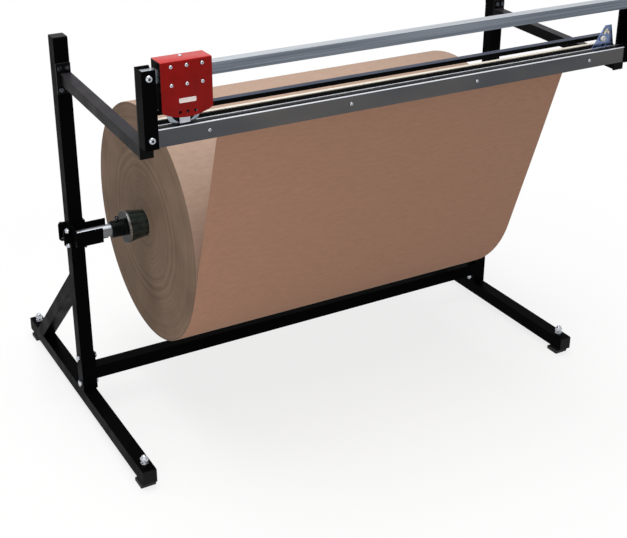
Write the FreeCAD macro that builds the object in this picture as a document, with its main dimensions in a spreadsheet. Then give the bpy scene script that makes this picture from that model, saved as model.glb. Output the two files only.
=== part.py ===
# A floor-standing cutter for wide rolls of wrapping paper. Two posts on long feet carry
# the roll on a shaft; two arms hold a cutting bed and a rail with a knife carriage in front.
# Frame: +Z up from the floor, +X along the roll to the right, the cutter faces -Y.
# The origin is on the floor, under the middle of the whole stand. All sizes in millimetres.
import FreeCAD
import Part
import Sketcher
import os
import re

AXIS_TURNS = {
    "X": FreeCAD.Rotation(FreeCAD.Vector(0, 1, 0), 90),
    "Y": FreeCAD.Rotation(FreeCAD.Vector(1, 0, 0), -90),
    "Z": FreeCAD.Rotation(),
}

sizes = {
    # posts and feet
    "stand_width": 1484,
    "post_size": 40,
    "post_wall": 3,
    "post_top": 1137,
    "post_front": 38.5,
    "floor_gap": 20,
    "foot_size": 40,
    "foot_wall": 3,
    "foot_front_reach": 456,
    "foot_rear_reach": 523,
    "cap_thickness": 3,
    "cap_plug": 14,
    "plug_clearance": 0.2,
    # rear braces
    "brace_size": 40,
    "brace_wall": 3,
    "brace_height": 383,
    "brace_reach": 385,
    # crossbar between the posts
    "crossbar_size": 40,
    "crossbar_wall": 3,
    "crossbar_rise": 31,
    "bar_plate_thickness": 4,
    "bar_plate_height": 120,
    "bar_plate_bottom": 64,
    "bar_bolt_spacing": 86,
    # screwed levelling feet
    "pad_size": 45,
    "pad_height": 12,
    "stud_radius": 6,
    "stud_inset": 35,
    "stud_fit": 0.2,
    "stud_flats": 19,
    "jam_nut_height": 6,
    "foot_travel": 6,
    "acorn_height": 18,
    "acorn_dome": 9.1,
    # arms
    "arm_width": 30,
    "arm_height": 30,
    "arm_wall": 3,
    "arm_reach": 556,
    "arm_drop": 26,
    "arm_plate_thickness": 5,
    "arm_plate_skirt": 27,
    "arm_plate_height": 84,
    "arm_bolt_margin": 13,
    "arm_bolt_spread": 20,
    "end_plate_inset": 8,
    "end_plate_width": 34,
    "end_plate_skirt": 32,
    "end_plate_lip": 2,
    # channels that hold the rail and the bed
    "channel_wall": 3,
    "channel_bottom": 1017,
    "channel_height": 185,
    "channel_gap": 0.25,
    "section_depth": 29.5,
    # rail
    "rail_drop": 3.5,
    "rail_height": 28,
    "rail_wall": 2.5,
    "groove_width": 5,
    "groove_depth": 1.2,
    # cutting bed
    "bed_rise": 2,
    "bed_height": 43,
    "bed_wall": 3,
    "track_height": 22,
    "track_sink": 2,
    "track_inset": 46,
    "track_play": 0.1,
    "slot_width": 3,
    "slot_depth": 12,
    "paper_gap": 10,
    "tray_depth": 40,
    "tray_thickness": 3,
    "tray_tab": 50,
    "strip_depth": 12,
    "strip_inset": 24,
    "strip_height": 3,
    "guide_bar_depth": 22,
    "guide_bar_height": 12,
    "guide_bar_rise": 16,
    "guide_bar_setback": 51,
    "guide_leg": 4,
    "guide_leg_height": 72,
    "bed_screw_spacing": 382,
    "track_bite": 10,
    # shaft holders clamped on the posts
    "clamp_drop": 7,
    "clamp_plate": 5,
    "clamp_plate_height": 57,
    "clamp_overhang": 19,
    "cheek_height": 84,
    "clamp_bolt_spacing": 44,
    "clamp_corner": 6,
    "trough_wall": 4.5,
    "trough_inset": 2,
    "trough_front_length": 78,
    "trough_rear_length": 100,
    "trough_front_rise": 20,
    "trough_rear_rise": 30,
    # shaft, chucks and roll
    "shaft_radius": 18,
    "shaft_height": 578,
    "shaft_play": 0.2,
    "shaft_end_play": 1,
    "shaft_chamfer": 1.5,
    "hub_radius": 24,
    "hub_length": 41,
    "flange_radius": 48,
    "flange_thickness": 8,
    "cone_length": 67,
    "cone_tip_radius": 35.6,
    "cone_insert": 14,
    "chuck_fit": 0.05,
    "chuck_screw_rise": 6.5,
    "core_bore_radius": 38,
    "core_wall": 4,
    "core_length": 1062,
    "core_fit": 0.3,
    "roll_radius": 348,
    "roll_length": 1060,
    # loose web of paper from the roll to the bed
    "web_thickness": 0.6,
    "web_gap": 0.3,
    "web_drop": 4,
    # knife carriage
    "cover_left": 50,
    "cover_width": 125,
    "cover_depth": 52,
    "cover_sheet": 2,
    "cover_offset": 11.25,
    "cover_height": 133,
    "cover_arc": 130,
    "top_screw_inset": 17.3,
    "body_side": 3,
    "body_back": 4,
    "body_top": 3,
    "body_height": 112,
    "rail_window": 2,
    "roller_radius": 7,
    "roller_width": 5,
    "roller_gap": 0.3,
    "roller_spacing": 38,
    "axle_radius": 2.5,
    "axle_fit": 0.05,
    "spacer_radius": 4,
    "end_float": 0.1,
    "knife_radius": 44,
    "knife_thickness": 1.5,
    "knife_bite": 6,
    "knife_hub_radius": 13,
    "knife_hub_width": 8,
    "knife_axle_radius": 5,
    "knife_shoulder": 8,
    "tongue_width": 56,
    "tongue_drop": 18,
    "guard_width": 26,
    "guard_thickness": 2,
    "guard_drop": 33,
    "guard_rise": 16,
    "hole_radius": 4,
    "hole_spacing": 19,
    "badge_width": 42,
    "badge_height": 11,
    "badge_rise": 22,
    "badge_thickness": 1,
    "badge_corner": 3,
    # bracket, roller and hook at the far end of the bed
    "bracket_right": 57,
    "bracket_base": 78,
    "bracket_peak": 22,
    "bracket_slope": 42,
    "bracket_skirt": 18,
    "bracket_rise": 60,
    "bracket_sheet": 2,
    "bracket_bite": 9,
    "bracket_screw_inset": 14,
    "bracket_screw_drop": 10,
    "stop_radius": 8,
    "stop_width": 7,
    "stop_inset": 35,
    "stop_rise": 24,
    "pin_radius": 2.5,
    "pin_head_radius": 4.6,
    "pin_head": 2,
    "pin_rivet": 1,
    "hook_inset": 46,
    "hook_drop": 12,
    "hook_length": 12,
    "hook_reach": 6,
    "hook_band": 4.5,
    "hook_thickness": 2,
    "hook_clearance": 0.3,
    # fasteners: shank radius, width across flats, head and nut height
    "small_radius": 2.5,
    "small_flats": 8,
    "small_head": 3,
    "small_head_radius": 4.6,
    "small_nut": 4,
    "medium_radius": 4,
    "medium_flats": 13,
    "medium_head": 5.3,
    "medium_nut": 6.5,
    "large_radius": 5,
    "large_flats": 17,
    "large_head": 6.4,
    "large_nut": 8,
    "bolt_fit": 0.2,
    "thread_fit": 0.05,
    "thread_spare": 2,
}

doc = FreeCAD.newDocument("paper_cutter")
sheet = doc.addObject("Spreadsheet::Sheet", "dims")
for row, (word, number) in enumerate(sizes.items(), start=1):
    sheet.set(f"A{row}", word)
    sheet.set(f"B{row}", str(number))
    sheet.setAlias(f"B{row}", word)
doc.recompute()

nodes = {}


# A formula is written with the sheet's own words.
def formula(text):
    def cell(match):
        word = match.group(0)
        return f"dims.{word}" if word in sizes else word

    return re.sub(r"[a-z][a-z_]*", cell, str(text))


def value(text):
    return float(sheet.evalExpression(formula(text)))


def bind(thing, path, text):
    thing.setExpression(path, formula(text))


def place(thing, corner, axis="Z"):
    thing.Placement = FreeCAD.Placement(FreeCAD.Vector(), AXIS_TURNS[axis])
    for letter, text in zip("xyz", corner):
        bind(thing, f"Placement.Base.{letter}", text)
    return thing


def box(length, width, height, corner):
    piece = doc.addObject("Part::Box", "block")
    bind(piece, "Length", length)
    bind(piece, "Width", width)
    bind(piece, "Height", height)
    return place(piece, corner)


def rod(radius, height, start, axis):
    piece = doc.addObject("Part::Cylinder", "rod")
    bind(piece, "Radius", radius)
    bind(piece, "Height", height)
    return place(piece, start, axis)


def ball(radius, centre):
    piece = doc.addObject("Part::Sphere", "ball")
    bind(piece, "Radius", radius)
    return place(piece, centre)


def hexagon(flats, height, start, axis):
    piece = doc.addObject("Part::Prism", "hexagon")
    piece.Polygon = 6
    bind(piece, "Circumradius", f"({flats}) / sqrt(3)")
    bind(piece, "Height", height)
    return place(piece, start, axis)


def cut(base, *tools):
    piece = doc.addObject("Part::Cut", "trimmed")
    piece.Base = base
    piece.Tool = tools[0] if len(tools) == 1 else group(*tools)
    return piece


def fuse(*shapes):
    piece = doc.addObject("Part::MultiFuse", "joined")
    piece.Shapes = list(shapes)
    piece.Refine = True
    return piece


def common(base, tool):
    piece = doc.addObject("Part::Common", "shared")
    piece.Base = base
    piece.Tool = tool
    return piece


def group(*shapes):
    piece = doc.addObject("Part::Compound", "group")
    piece.Links = list(shapes)
    return piece


def mirror(source):
    piece = doc.addObject("Part::Mirroring", "mirrored")
    piece.Source = source
    piece.Base = FreeCAD.Vector(0, 0, 0)
    piece.Normal = FreeCAD.Vector(1, 0, 0)
    return piece


def name(label, piece):
    piece.Label = label
    nodes[label] = piece
    return piece


def pair(label, piece):
    name(f"{label}_left", piece)
    name(f"{label}_right", mirror(piece))


# A closed outline on one of the body's own planes; each corner's two distances are bound.
def outline(body, plane, corners):
    drawing = body.newObject("Sketcher::SketchObject", "outline")
    origin_planes = [item for item in body.Origin.OriginFeatures if item.Role == plane]
    drawing.AttachmentSupport = [(origin_planes[0], "")]
    drawing.MapMode = "FlatFace"
    points = [FreeCAD.Vector(value(across), value(up), 0) for across, up in corners]
    count = len(points)
    for index in range(count):
        line = Part.LineSegment(points[index], points[(index + 1) % count])
        drawing.addGeometry(line, False)
    for index in range(count):
        following = (index + 1) % count
        drawing.addConstraint(Sketcher.Constraint("Coincident", index, 2, following, 1))
    for index, corner in enumerate(corners):
        for kind, text in zip(("DistanceX", "DistanceY"), corner):
            rule = Sketcher.Constraint(kind, -1, 1, index, 1, value(text))
            number = drawing.addConstraint(rule)
            bind(drawing, f"Constraints[{number}]", text)
    return drawing


def extrusion(plane, corners, length, corner):
    body = doc.addObject("PartDesign::Body", "body")
    pad = body.newObject("PartDesign::Pad", "pad")
    pad.Profile = outline(body, plane, corners)
    bind(pad, "Length", length)
    return place(body, corner)


# A piece turned about its own X axis; the corners are (along, radius).
def turning(corners, centre):
    body = doc.addObject("PartDesign::Body", "body")
    drawing = outline(body, "XY_Plane", corners)
    turn = body.newObject("PartDesign::Revolution", "turn")
    turn.Profile = drawing
    turn.ReferenceAxis = (drawing, ["H_Axis"])
    turn.Angle = 360
    return place(body, centre)


def tube(length, width, height, wall, corner, axis):
    inner = [f"{side} - 2 * {wall}" for side in (length, width, height)]
    start = [f"{base} + {wall}" for base in corner]
    along = "XYZ".index(axis)
    inner[along] = (length, width, height)[along]
    start[along] = corner[along]
    return cut(box(length, width, height, corner), box(*inner, start))


# A hexagon-head bolt from its bearing face, its head behind that face, and its nut.
def bolt(kind, grip, start, axis):
    radius = f"{kind}_radius"
    head = shift(start, axis, f"-{kind}_head")
    shank_length = f"{kind}_head + {grip} + {kind}_nut + thread_spare"
    shank = rod(radius, shank_length, head, axis)
    screw = fuse(hexagon(f"{kind}_flats", f"{kind}_head", head, axis), shank)
    return screw, nut(kind, shift(start, axis, grip), axis)


def nut(kind, start, axis):
    outer = hexagon(f"{kind}_flats", f"{kind}_nut", start, axis)
    bore = rod(f"{kind}_radius + thread_fit", f"{kind}_nut", start, axis)
    return cut(outer, bore)


def shift(start, axis, distance):
    moved = list(start)
    index = "XYZ".index(axis)
    moved[index] = f"{start[index]} + {distance}"
    return moved


def hole(kind, length, start, axis):
    return rod(f"{kind}_radius + bolt_fit", length, start, axis)


left = "(-stand_width / 2)"
post_inside = f"({left} + post_size)"
post_middle = f"({left} + post_size / 2)"
post_rear = "(post_front + post_size)"
foot_top = "(floor_gap + foot_size)"
foot_start = "(post_front - foot_front_reach)"
foot_length = "(foot_front_reach + foot_rear_reach)"


# --- feet -------------------------------------------------------------------------------
stud_x = f"({left} + foot_size / 2)"
stud_places = {
    "front": f"({foot_start} + stud_inset)",
    "rear": f"({foot_start} + {foot_length} - stud_inset)",
}


def foot_tube():
    tube_shape = tube("foot_size", foot_length, "foot_size", "foot_wall",
                      (left, foot_start, "floor_gap"), "Y")
    holes = [rod("stud_radius + stud_fit", "foot_size", (stud_x, place_y, "floor_gap"), "Z")
             for place_y in stud_places.values()]
    return cut(tube_shape, *holes)


def square_cap(side, wall, plate_corner, plug_start, axis):
    plug_side = f"{side} - 2 * {wall} - 2 * plug_clearance"
    inset = f"({wall} + plug_clearance)"
    plate = [side, side, side]
    plug = [plug_side, plug_side, plug_side]
    start = [f"{base} + {inset}" for base in plate_corner]
    along = "XYZ".index(axis)
    plate[along] = "cap_thickness"
    plug[along] = "cap_plug"
    start[along] = plug_start
    return fuse(box(*plate, plate_corner), box(*plug, start))


def foot_caps():
    front = square_cap("foot_size", "foot_wall",
                       (left, f"{foot_start} - cap_thickness", "floor_gap"), foot_start, "Y")
    foot_end = f"{foot_start} + {foot_length}"
    rear = square_cap("foot_size", "foot_wall",
                      (left, foot_end, "floor_gap"), f"{foot_end} - cap_plug", "Y")
    return [front, rear]


def levelling_foot(place_y):
    pad = box("pad_size", "pad_size", "pad_height",
              (f"{stud_x} - pad_size / 2", f"{place_y} - pad_size / 2", "0"))
    lower_nut_height = "(floor_gap - pad_height)"
    acorn_base = f"({foot_top} + jam_nut_height + foot_travel)"
    centre = (stud_x, place_y, "pad_height")
    stud = fuse(rod("stud_radius", f"{acorn_base} + acorn_height / 2 - pad_height", centre, "Z"),
                hexagon("stud_flats", lower_nut_height, centre, "Z"))
    acorn = acorn_nut((stud_x, place_y, acorn_base))
    jam = cut(hexagon("stud_flats", "jam_nut_height", (stud_x, place_y, foot_top), "Z"),
              rod("stud_radius + stud_fit", "jam_nut_height", (stud_x, place_y, foot_top), "Z"))
    return pad, fuse(stud, acorn), jam


def acorn_nut(base):
    straight = "(acorn_height - acorn_dome)"
    dome = ball("acorn_dome", shift(base, "Z", straight))
    return fuse(hexagon("stud_flats", straight, base, "Z"), dome)


pair("foot_tube", foot_tube())
jam_nuts = []
for end, place_y in stud_places.items():
    pad, stud, jam = levelling_foot(place_y)
    jam_nuts += [jam, mirror(jam)]
    for side, pad_piece, stud_piece in (("left", pad, stud), ("right", mirror(pad), mirror(stud))):
        name(f"foot_pad_{end}_{side}", pad_piece)
        name(f"foot_stud_{end}_{side}", stud_piece)
name("jam_nuts", group(*jam_nuts))


# --- posts, braces and crossbar ---------------------------------------------------------
bar_plate_middle = "(bar_plate_bottom + bar_plate_height / 2)"
crossbar_bottom = "(bar_plate_bottom + crossbar_rise)"
bar_bolt_heights = [f"({bar_plate_middle} {sign} bar_bolt_spacing / 2)" for sign in "-+"]
arm_top = "channel_bottom"
arm_plate_bottom = f"({arm_top} + arm_drop - arm_height - arm_plate_skirt)"
arm_plate_top = f"({arm_plate_bottom} + arm_plate_height)"
arm_bolt_heights = [f"({arm_plate_bottom} + arm_bolt_margin)",
                    f"({arm_plate_top} - arm_bolt_margin)"]
arm_bolt_sides = [f"({post_middle} {sign} arm_bolt_spread / 2)" for sign in "-+"]
bolt_middle_y = "(post_front + post_size / 2)"


def post():
    shell = tube("post_size", "post_size", f"post_top - {foot_top}", "post_wall",
                 (left, "post_front", foot_top), "Z")
    holes = [hole("large", "post_size", (left, bolt_middle_y, level), "X")
             for level in bar_bolt_heights]
    holes += [hole("medium", "post_size", (across, "post_front", level), "Y")
              for level in arm_bolt_heights for across in arm_bolt_sides]
    return cut(shell, *holes)


def brace():
    slope = "((brace_height - floor_gap - foot_size) / (brace_reach - post_size))"
    stretch = f"sqrt(1 + {slope} * {slope})"
    start = post_rear
    low = "brace_height"

    def band(inset):
        low_edge = f"({low} + {inset} * {stretch})"
        high_edge = f"({low} + (brace_size - {inset}) * {stretch})"
        low_run = f"({start} + ({low_edge} - {foot_top}) / {slope})"
        high_run = f"({start} + ({high_edge} - {foot_top}) / {slope})"
        return [(start, low_edge), (start, high_edge), (high_run, foot_top), (low_run, foot_top)]

    outer = extrusion("YZ_Plane", band("0"), "brace_size", (left, "0", "0"))
    inner = extrusion("YZ_Plane", band("brace_wall"), "brace_size - 2 * brace_wall",
                      (f"{left} + brace_wall", "0", "0"))
    return cut(outer, inner)


# the end plates are welded to the bar; each is a solid of its own
def crossbar():
    inside = f"({post_inside} + bar_plate_thickness)"
    bar = tube(f"(-2 * {inside})", "crossbar_size", "crossbar_size", "crossbar_wall",
               (inside, "post_front", crossbar_bottom), "X")
    plate = box("bar_plate_thickness", "post_size", "bar_plate_height",
                (post_inside, "post_front", "bar_plate_bottom"))
    holes = [hole("large", "bar_plate_thickness", (post_inside, bolt_middle_y, level), "X")
             for level in bar_bolt_heights]
    drilled = cut(plate, *holes)
    return group(bar, drilled, mirror(drilled))


def both_sides(pieces):
    return group(*pieces, *[mirror(piece) for piece in pieces])


def crossbar_bolts():
    pieces = []
    for level in bar_bolt_heights:
        pieces += bolt("large", "(post_size + bar_plate_thickness)",
                       (left, bolt_middle_y, level), "X")
    return both_sides(pieces)


pair("post", post())
post_cap = square_cap("post_size", "post_wall", (left, "post_front", "post_top"),
                      "post_top - cap_plug", "Z")
name("tube_caps", both_sides([post_cap, *foot_caps()]))
pair("brace", brace())
name("crossbar", crossbar())
name("crossbar_bolts", crossbar_bolts())


# --- arms and channels ------------------------------------------------------------------
arm_front = "(post_front - arm_reach)"
plate_rear = f"({arm_front} + arm_plate_thickness)"
arm_start = f"({left} + post_size - arm_width)"
end_plate_start = f"({left} + end_plate_inset)"
channel_depth = "(section_depth + 2 * channel_wall + 2 * channel_gap)"
channel_front = f"({arm_front} - {channel_depth})"
section_front = f"({channel_front} + channel_wall + channel_gap)"
section_middle = f"({section_front} + section_depth / 2)"
section_start = f"({end_plate_start} + channel_wall + channel_gap)"
channel_bolt_x = f"({end_plate_start} + end_plate_width / 2)"
rail_top = "(channel_bottom + channel_height - rail_drop)"
rail_bottom = f"({rail_top} - rail_height)"
rail_middle = f"({rail_top} - rail_height / 2)"
bed_bottom = "(channel_bottom + bed_rise)"
bed_middle = f"({bed_bottom} + bed_height / 2)"
bed_top = f"({bed_bottom} + bed_height)"
channel_bolt_heights = [rail_middle, bed_middle]


def arm():
    rear_face = "(post_front - arm_plate_thickness)"

    def band(inset):
        high = f"({arm_top} - {inset})"
        low = f"({arm_top} - arm_height + {inset})"
        return [(plate_rear, low), (plate_rear, high),
                (rear_face, f"{high} + arm_drop"), (rear_face, f"{low} + arm_drop")]

    outer = extrusion("YZ_Plane", band("0"), "arm_width", (arm_start, "0", "0"))
    inner = extrusion("YZ_Plane", band("arm_wall"), "arm_width - 2 * arm_wall",
                      (f"{arm_start} + arm_wall", "0", "0"))
    beam = cut(outer, inner)
    rear_plate = box("post_size", "arm_plate_thickness", "arm_plate_height",
                     (left, rear_face, arm_plate_bottom))
    end_plate = box("end_plate_width", "arm_plate_thickness",
                    "end_plate_skirt + channel_height + end_plate_lip",
                    (end_plate_start, arm_front, "channel_bottom - end_plate_skirt"))
    holes = [hole("medium", "arm_plate_thickness", (across, rear_face, level), "Y")
             for level in arm_bolt_heights for across in arm_bolt_sides]
    holes += [hole("large", "arm_plate_thickness", (channel_bolt_x, arm_front, level), "Y")
              for level in channel_bolt_heights]
    return cut(fuse(beam, rear_plate, end_plate), *holes)


def arm_bolts():
    pieces = []
    for level in arm_bolt_heights:
        for across in arm_bolt_sides:
            start = (across, "(post_front - arm_plate_thickness)", level)
            pieces += bolt("medium", "(arm_plate_thickness + post_size)", start, "Y")
    return both_sides(pieces)


def channel():
    front = channel_front
    back = arm_front
    start = end_plate_start
    end = f"({start} + end_plate_width)"
    web = f"({start} + channel_wall)"
    corners = [(start, front), (end, front), (end, f"{front} + channel_wall"),
               (web, f"{front} + channel_wall"), (web, f"{back} - channel_wall"),
               (end, f"{back} - channel_wall"), (end, back), (start, back)]
    body = extrusion("XY_Plane", corners, "channel_height",
                     ("0", "0", "channel_bottom"))
    holes = [hole("large", channel_depth, (channel_bolt_x, channel_front, level), "Y")
             for level in channel_bolt_heights]
    return cut(body, *holes)


def channel_bolts():
    pieces = []
    for level in channel_bolt_heights:
        pieces += bolt("large", f"({channel_depth} + arm_plate_thickness)",
                       (channel_bolt_x, channel_front, level), "Y")
    return both_sides(pieces)


pair("arm", arm())
name("arm_bolts", arm_bolts())
pair("channel", channel())
name("channel_bolts", channel_bolts())


# --- rail and bed -----------------------------------------------------------------------
section_length = f"(-2 * {section_start})"
track_width = "(section_depth - 2 * bed_wall - 2 * track_play)"
track_top = f"({bed_top} - track_sink)"
screw_places = [f"({step} * bed_screw_spacing)" for step in (-1.5, -0.5, 0.5, 1.5)]
section_back = f"({section_front} + section_depth)"


def end_holes(level):
    first = hole("large", "section_depth", (channel_bolt_x, section_front, level), "Y")
    return [first, mirror(first)]


def top_rail():
    near = section_front
    far = section_back
    low = rail_bottom
    high = rail_top
    groove_low = f"({rail_middle} - groove_width / 2)"
    groove_high = f"({rail_middle} + groove_width / 2)"
    corners = [(near, low), (far, low), (far, high), (near, high),
               (near, groove_high), (f"{near} + groove_depth", groove_high),
               (f"{near} + groove_depth", groove_low), (near, groove_low)]
    profile = extrusion("YZ_Plane", corners, section_length, (section_start, "0", "0"))
    skin = "(rail_wall + groove_depth)"
    hollow = box(section_length, f"section_depth - 2 * {skin}", "rail_height - 2 * rail_wall",
                 (section_start, f"{near} + {skin}", f"{low} + rail_wall"))
    return cut(profile, hollow, *end_holes(rail_middle))


def bed_bar():
    near = section_front
    far = section_back
    floor = f"({bed_bottom} + bed_wall)"
    corners = [(near, bed_bottom), (far, bed_bottom), (far, bed_top),
               (f"{far} - bed_wall", bed_top), (f"{far} - bed_wall", floor),
               (f"{near} + bed_wall", floor), (f"{near} + bed_wall", bed_top), (near, bed_top)]
    profile = extrusion("YZ_Plane", corners, section_length, (section_start, "0", "0"))
    screws = [hole("small", "bed_wall", (across, near, bed_middle), "Y")
              for across in screw_places]
    return cut(profile, *end_holes(bed_middle), *screws, *bracket_screw_holes())


def knife_track():
    start = f"({left} + track_inset)"
    front = f"({section_front} + bed_wall + track_play)"
    bottom = f"({track_top} - track_height)"
    block = box(f"-2 * {start}", track_width, "track_height", (start, front, bottom))
    groove = box(f"-2 * {start}", "slot_width", "slot_depth",
                 (start, f"{section_middle} - slot_width / 2", f"{track_top} - slot_depth"))
    screws = [rod("small_radius + thread_fit", "track_bite", (across, front, bed_middle), "Y")
              for across in screw_places]
    return cut(block, groove, *screws, *bracket_screw_holes())


def button_screw(length, start, axis, sign="-"):
    radius = "small_radius"
    head_start = start if sign == "+" else shift(start, axis, "-small_head")
    shank_start = shift(start, axis, f"-({length})") if sign == "+" else start
    return fuse(rod("small_head_radius", "small_head", head_start, axis),
                rod(radius, length, shank_start, axis))


def bed_screws():
    return group(*[button_screw("(bed_wall + track_bite)", (across, section_front, bed_middle), "Y")
                   for across in screw_places])


# the web of paper comes up through the gap between the bed bar and the tray
tray_front = f"({section_back} + paper_gap)"
strip_bottom = f"({bed_top} - strip_height)"


def bed_tray():
    floor_bottom = f"({strip_bottom} - tray_thickness)"
    floor = box(f"-2 * {post_inside}", "tray_depth", "tray_thickness",
                (post_inside, tray_front, floor_bottom))
    tab = box("tray_thickness", "tray_depth", "tray_tab",
              (post_inside, tray_front, f"{strip_bottom} - tray_tab"))
    return fuse(floor, tab, mirror(tab))


def cutting_strip():
    start = f"({post_inside} + tray_thickness)"
    return box(f"-2 * {start}", "strip_depth", "strip_height",
               (start, f"{tray_front} + strip_inset", strip_bottom))


def guide_bar():
    front = f"({section_back} + guide_bar_setback)"
    top = f"({bed_top} + guide_bar_rise)"
    bar = box(f"-2 * {post_inside}", "guide_bar_depth", "guide_bar_height",
              (post_inside, front, f"{top} - guide_bar_height"))
    leg = box("guide_leg", "guide_bar_depth", "guide_leg_height",
              (post_inside, front, f"{top} - guide_leg_height"))
    return fuse(bar, leg, mirror(leg))


# --- end bracket with its roller and hook -----------------------------------------------
bracket_end = "(stand_width / 2 - bracket_right)"
bracket_start = f"({bracket_end} - bracket_base)"
bracket_screw_sides = [f"({bracket_start} + bracket_screw_inset)",
                       f"({bracket_end} - bracket_screw_inset)"]
bracket_screw_height = f"({bed_top} - bracket_screw_drop)"
bracket_top = f"({bed_top} + bracket_rise)"
stop_x = f"({bracket_start} + stop_inset)"
stop_height = f"({bed_top} + stop_rise)"
hook_x = f"({bracket_start} + hook_inset)"
hook_pivot = f"({bracket_top} - hook_drop)"


def bracket_screw_holes():
    return [rod("small_radius + thread_fit", "bracket_bite", (across, bite_start, level), "Y")
            for across, bite_start, level in bracket_screw_starts()]


def bracket_screw_starts():
    return [(across, f"({section_back} - bracket_bite)", bracket_screw_height)
            for across in bracket_screw_sides]


def end_bracket():
    bottom = f"({bed_top} - bracket_skirt)"
    corners = [(bracket_start, bottom), (bracket_end, bottom), (bracket_end, bed_top),
               (f"{bracket_start} + bracket_slope + bracket_peak", bracket_top),
               (f"{bracket_start} + bracket_slope", bracket_top), (bracket_start, bed_top)]
    body = extrusion("XZ_Plane", corners, "bracket_sheet",
                     ("0", f"{section_back} + bracket_sheet", "0"))
    holes = [hole("small", "bracket_sheet", (across, section_back, bracket_screw_height), "Y")
             for across in bracket_screw_sides]
    holes += [rod("pin_radius + thread_fit", "bracket_sheet", (across, section_back, level), "Y")
              for across, level in ((stop_x, stop_height), (hook_x, hook_pivot))]
    return cut(body, *holes)


def bracket_screws():
    back = f"({section_back} + bracket_sheet)"
    return [button_screw("(bracket_sheet + bracket_bite)",
                         (across, back, bracket_screw_height), "Y", "+")
            for across in bracket_screw_sides]


def bracket_pin(across, level, length):
    tip = (across, f"({section_back} - {length})", level)
    back = (across, f"({section_back} + bracket_sheet)", level)
    return fuse(rod("pin_radius", f"{length} + bracket_sheet", tip, "Y"),
                rod("pin_head_radius", "pin_head", shift(tip, "Y", "-pin_head"), "Y"),
                rod("pin_head_radius", "pin_rivet", back, "Y"))


def bracket_pins():
    return [bracket_pin(stop_x, stop_height, "(stop_width + 2 * hook_clearance)"),
            bracket_pin(hook_x, hook_pivot, "(hook_thickness + 2 * hook_clearance)")]


def stop_roller():
    start = (stop_x, f"{section_back} - hook_clearance - stop_width", stop_height)
    return cut(rod("stop_radius", "stop_width", start, "Y"),
               rod("pin_radius + axle_fit", "stop_width", start, "Y"))


def catch_hook():
    top = f"({hook_pivot} + hook_band)"
    low = f"({hook_pivot} - hook_length)"
    near = f"({hook_x} - hook_reach)"
    corners = [(f"{hook_x} - hook_band", top), (f"{hook_x} + hook_band", top),
               (f"{hook_x} + hook_reach + hook_band", low), (f"{hook_x} + hook_reach", low),
               (hook_x, f"{hook_pivot} - hook_band"), (near, low),
               (f"{near} - hook_band", low)]
    back = f"({section_back} - hook_clearance)"
    body = extrusion("XZ_Plane", corners, "hook_thickness", ("0", back, "0"))
    bore = rod("pin_radius + axle_fit", "hook_thickness",
               (hook_x, f"{back} - hook_thickness", hook_pivot), "Y")
    return cut(body, bore)


name("top_rail", top_rail())
name("bed_bar", bed_bar())
name("knife_track", knife_track())
name("bed_screws", bed_screws())
name("bed_tray", bed_tray())
name("cutting_strip", cutting_strip())
name("guide_bar", guide_bar())
name("end_bracket", end_bracket())
name("bracket_fasteners", group(*bracket_screws(), *bracket_pins()))
name("stop_roller", stop_roller())
name("catch_hook", catch_hook())


# --- shaft holders ----------------------------------------------------------------------
shaft_y = "(post_front - clamp_plate - trough_wall - shaft_play - shaft_radius)"
clamp_bolt_x = f"({left} - clamp_overhang / 2)"
clamp_height = "(shaft_height - clamp_drop)"
clamp_bolt_heights = [f"({clamp_height} {sign} clamp_bolt_spacing / 2)" for sign in "-+"]
clamp_bottom = f"({clamp_height} - clamp_plate_height / 2)"
trough_start = f"({left} + trough_inset)"


def rounded_plate(start):
    length = "(clamp_overhang + post_size + clamp_plate)"
    outer = f"({left} - clamp_overhang)"
    top = f"({clamp_bottom} + clamp_plate_height)"
    end = f"({outer} + {length})"
    corners = [(end, clamp_bottom), (end, top), (f"{outer} + clamp_corner", top),
               (outer, f"{top} - clamp_corner"), (outer, f"{clamp_bottom} + clamp_corner"),
               (f"{outer} + clamp_corner", clamp_bottom)]
    body = extrusion("XZ_Plane", corners, "clamp_plate", ("0", f"{start} + clamp_plate", "0"))
    holes = [hole("medium", "clamp_plate", (clamp_bolt_x, start, level), "Y")
             for level in clamp_bolt_heights]
    return cut(body, *holes)


def shaft_holder():
    inner = "(shaft_radius + shaft_play)"
    depth = f"(2 * {inner} + 2 * trough_wall)"
    front = f"({shaft_y} - {inner} - trough_wall)"
    bottom = f"(shaft_height - {inner} - trough_wall)"
    front_wall = box("trough_front_length", f"{depth} / 2",
                     f"{inner} + trough_wall + trough_front_rise", (trough_start, front, bottom))
    rear_wall = box("trough_rear_length", f"{depth} / 2",
                    f"{inner} + trough_wall + trough_rear_rise", (trough_start, shaft_y, bottom))
    groove_start = f"({trough_start} + trough_wall)"
    bore = rod(inner, "trough_rear_length", (groove_start, shaft_y, "shaft_height"), "X")
    opening = box("trough_rear_length", f"2 * {inner}", f"{inner} + trough_rear_rise",
                  (groove_start, f"{shaft_y} - {inner}", "shaft_height"))
    trough = cut(fuse(front_wall, rear_wall), fuse(bore, opening))
    cheek = box("clamp_plate", "post_size + clamp_plate", "cheek_height",
                (post_inside, "post_front - clamp_plate", f"{clamp_height} - cheek_height / 2"))
    return fuse(trough, rounded_plate("(post_front - clamp_plate)"), cheek)


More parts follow.
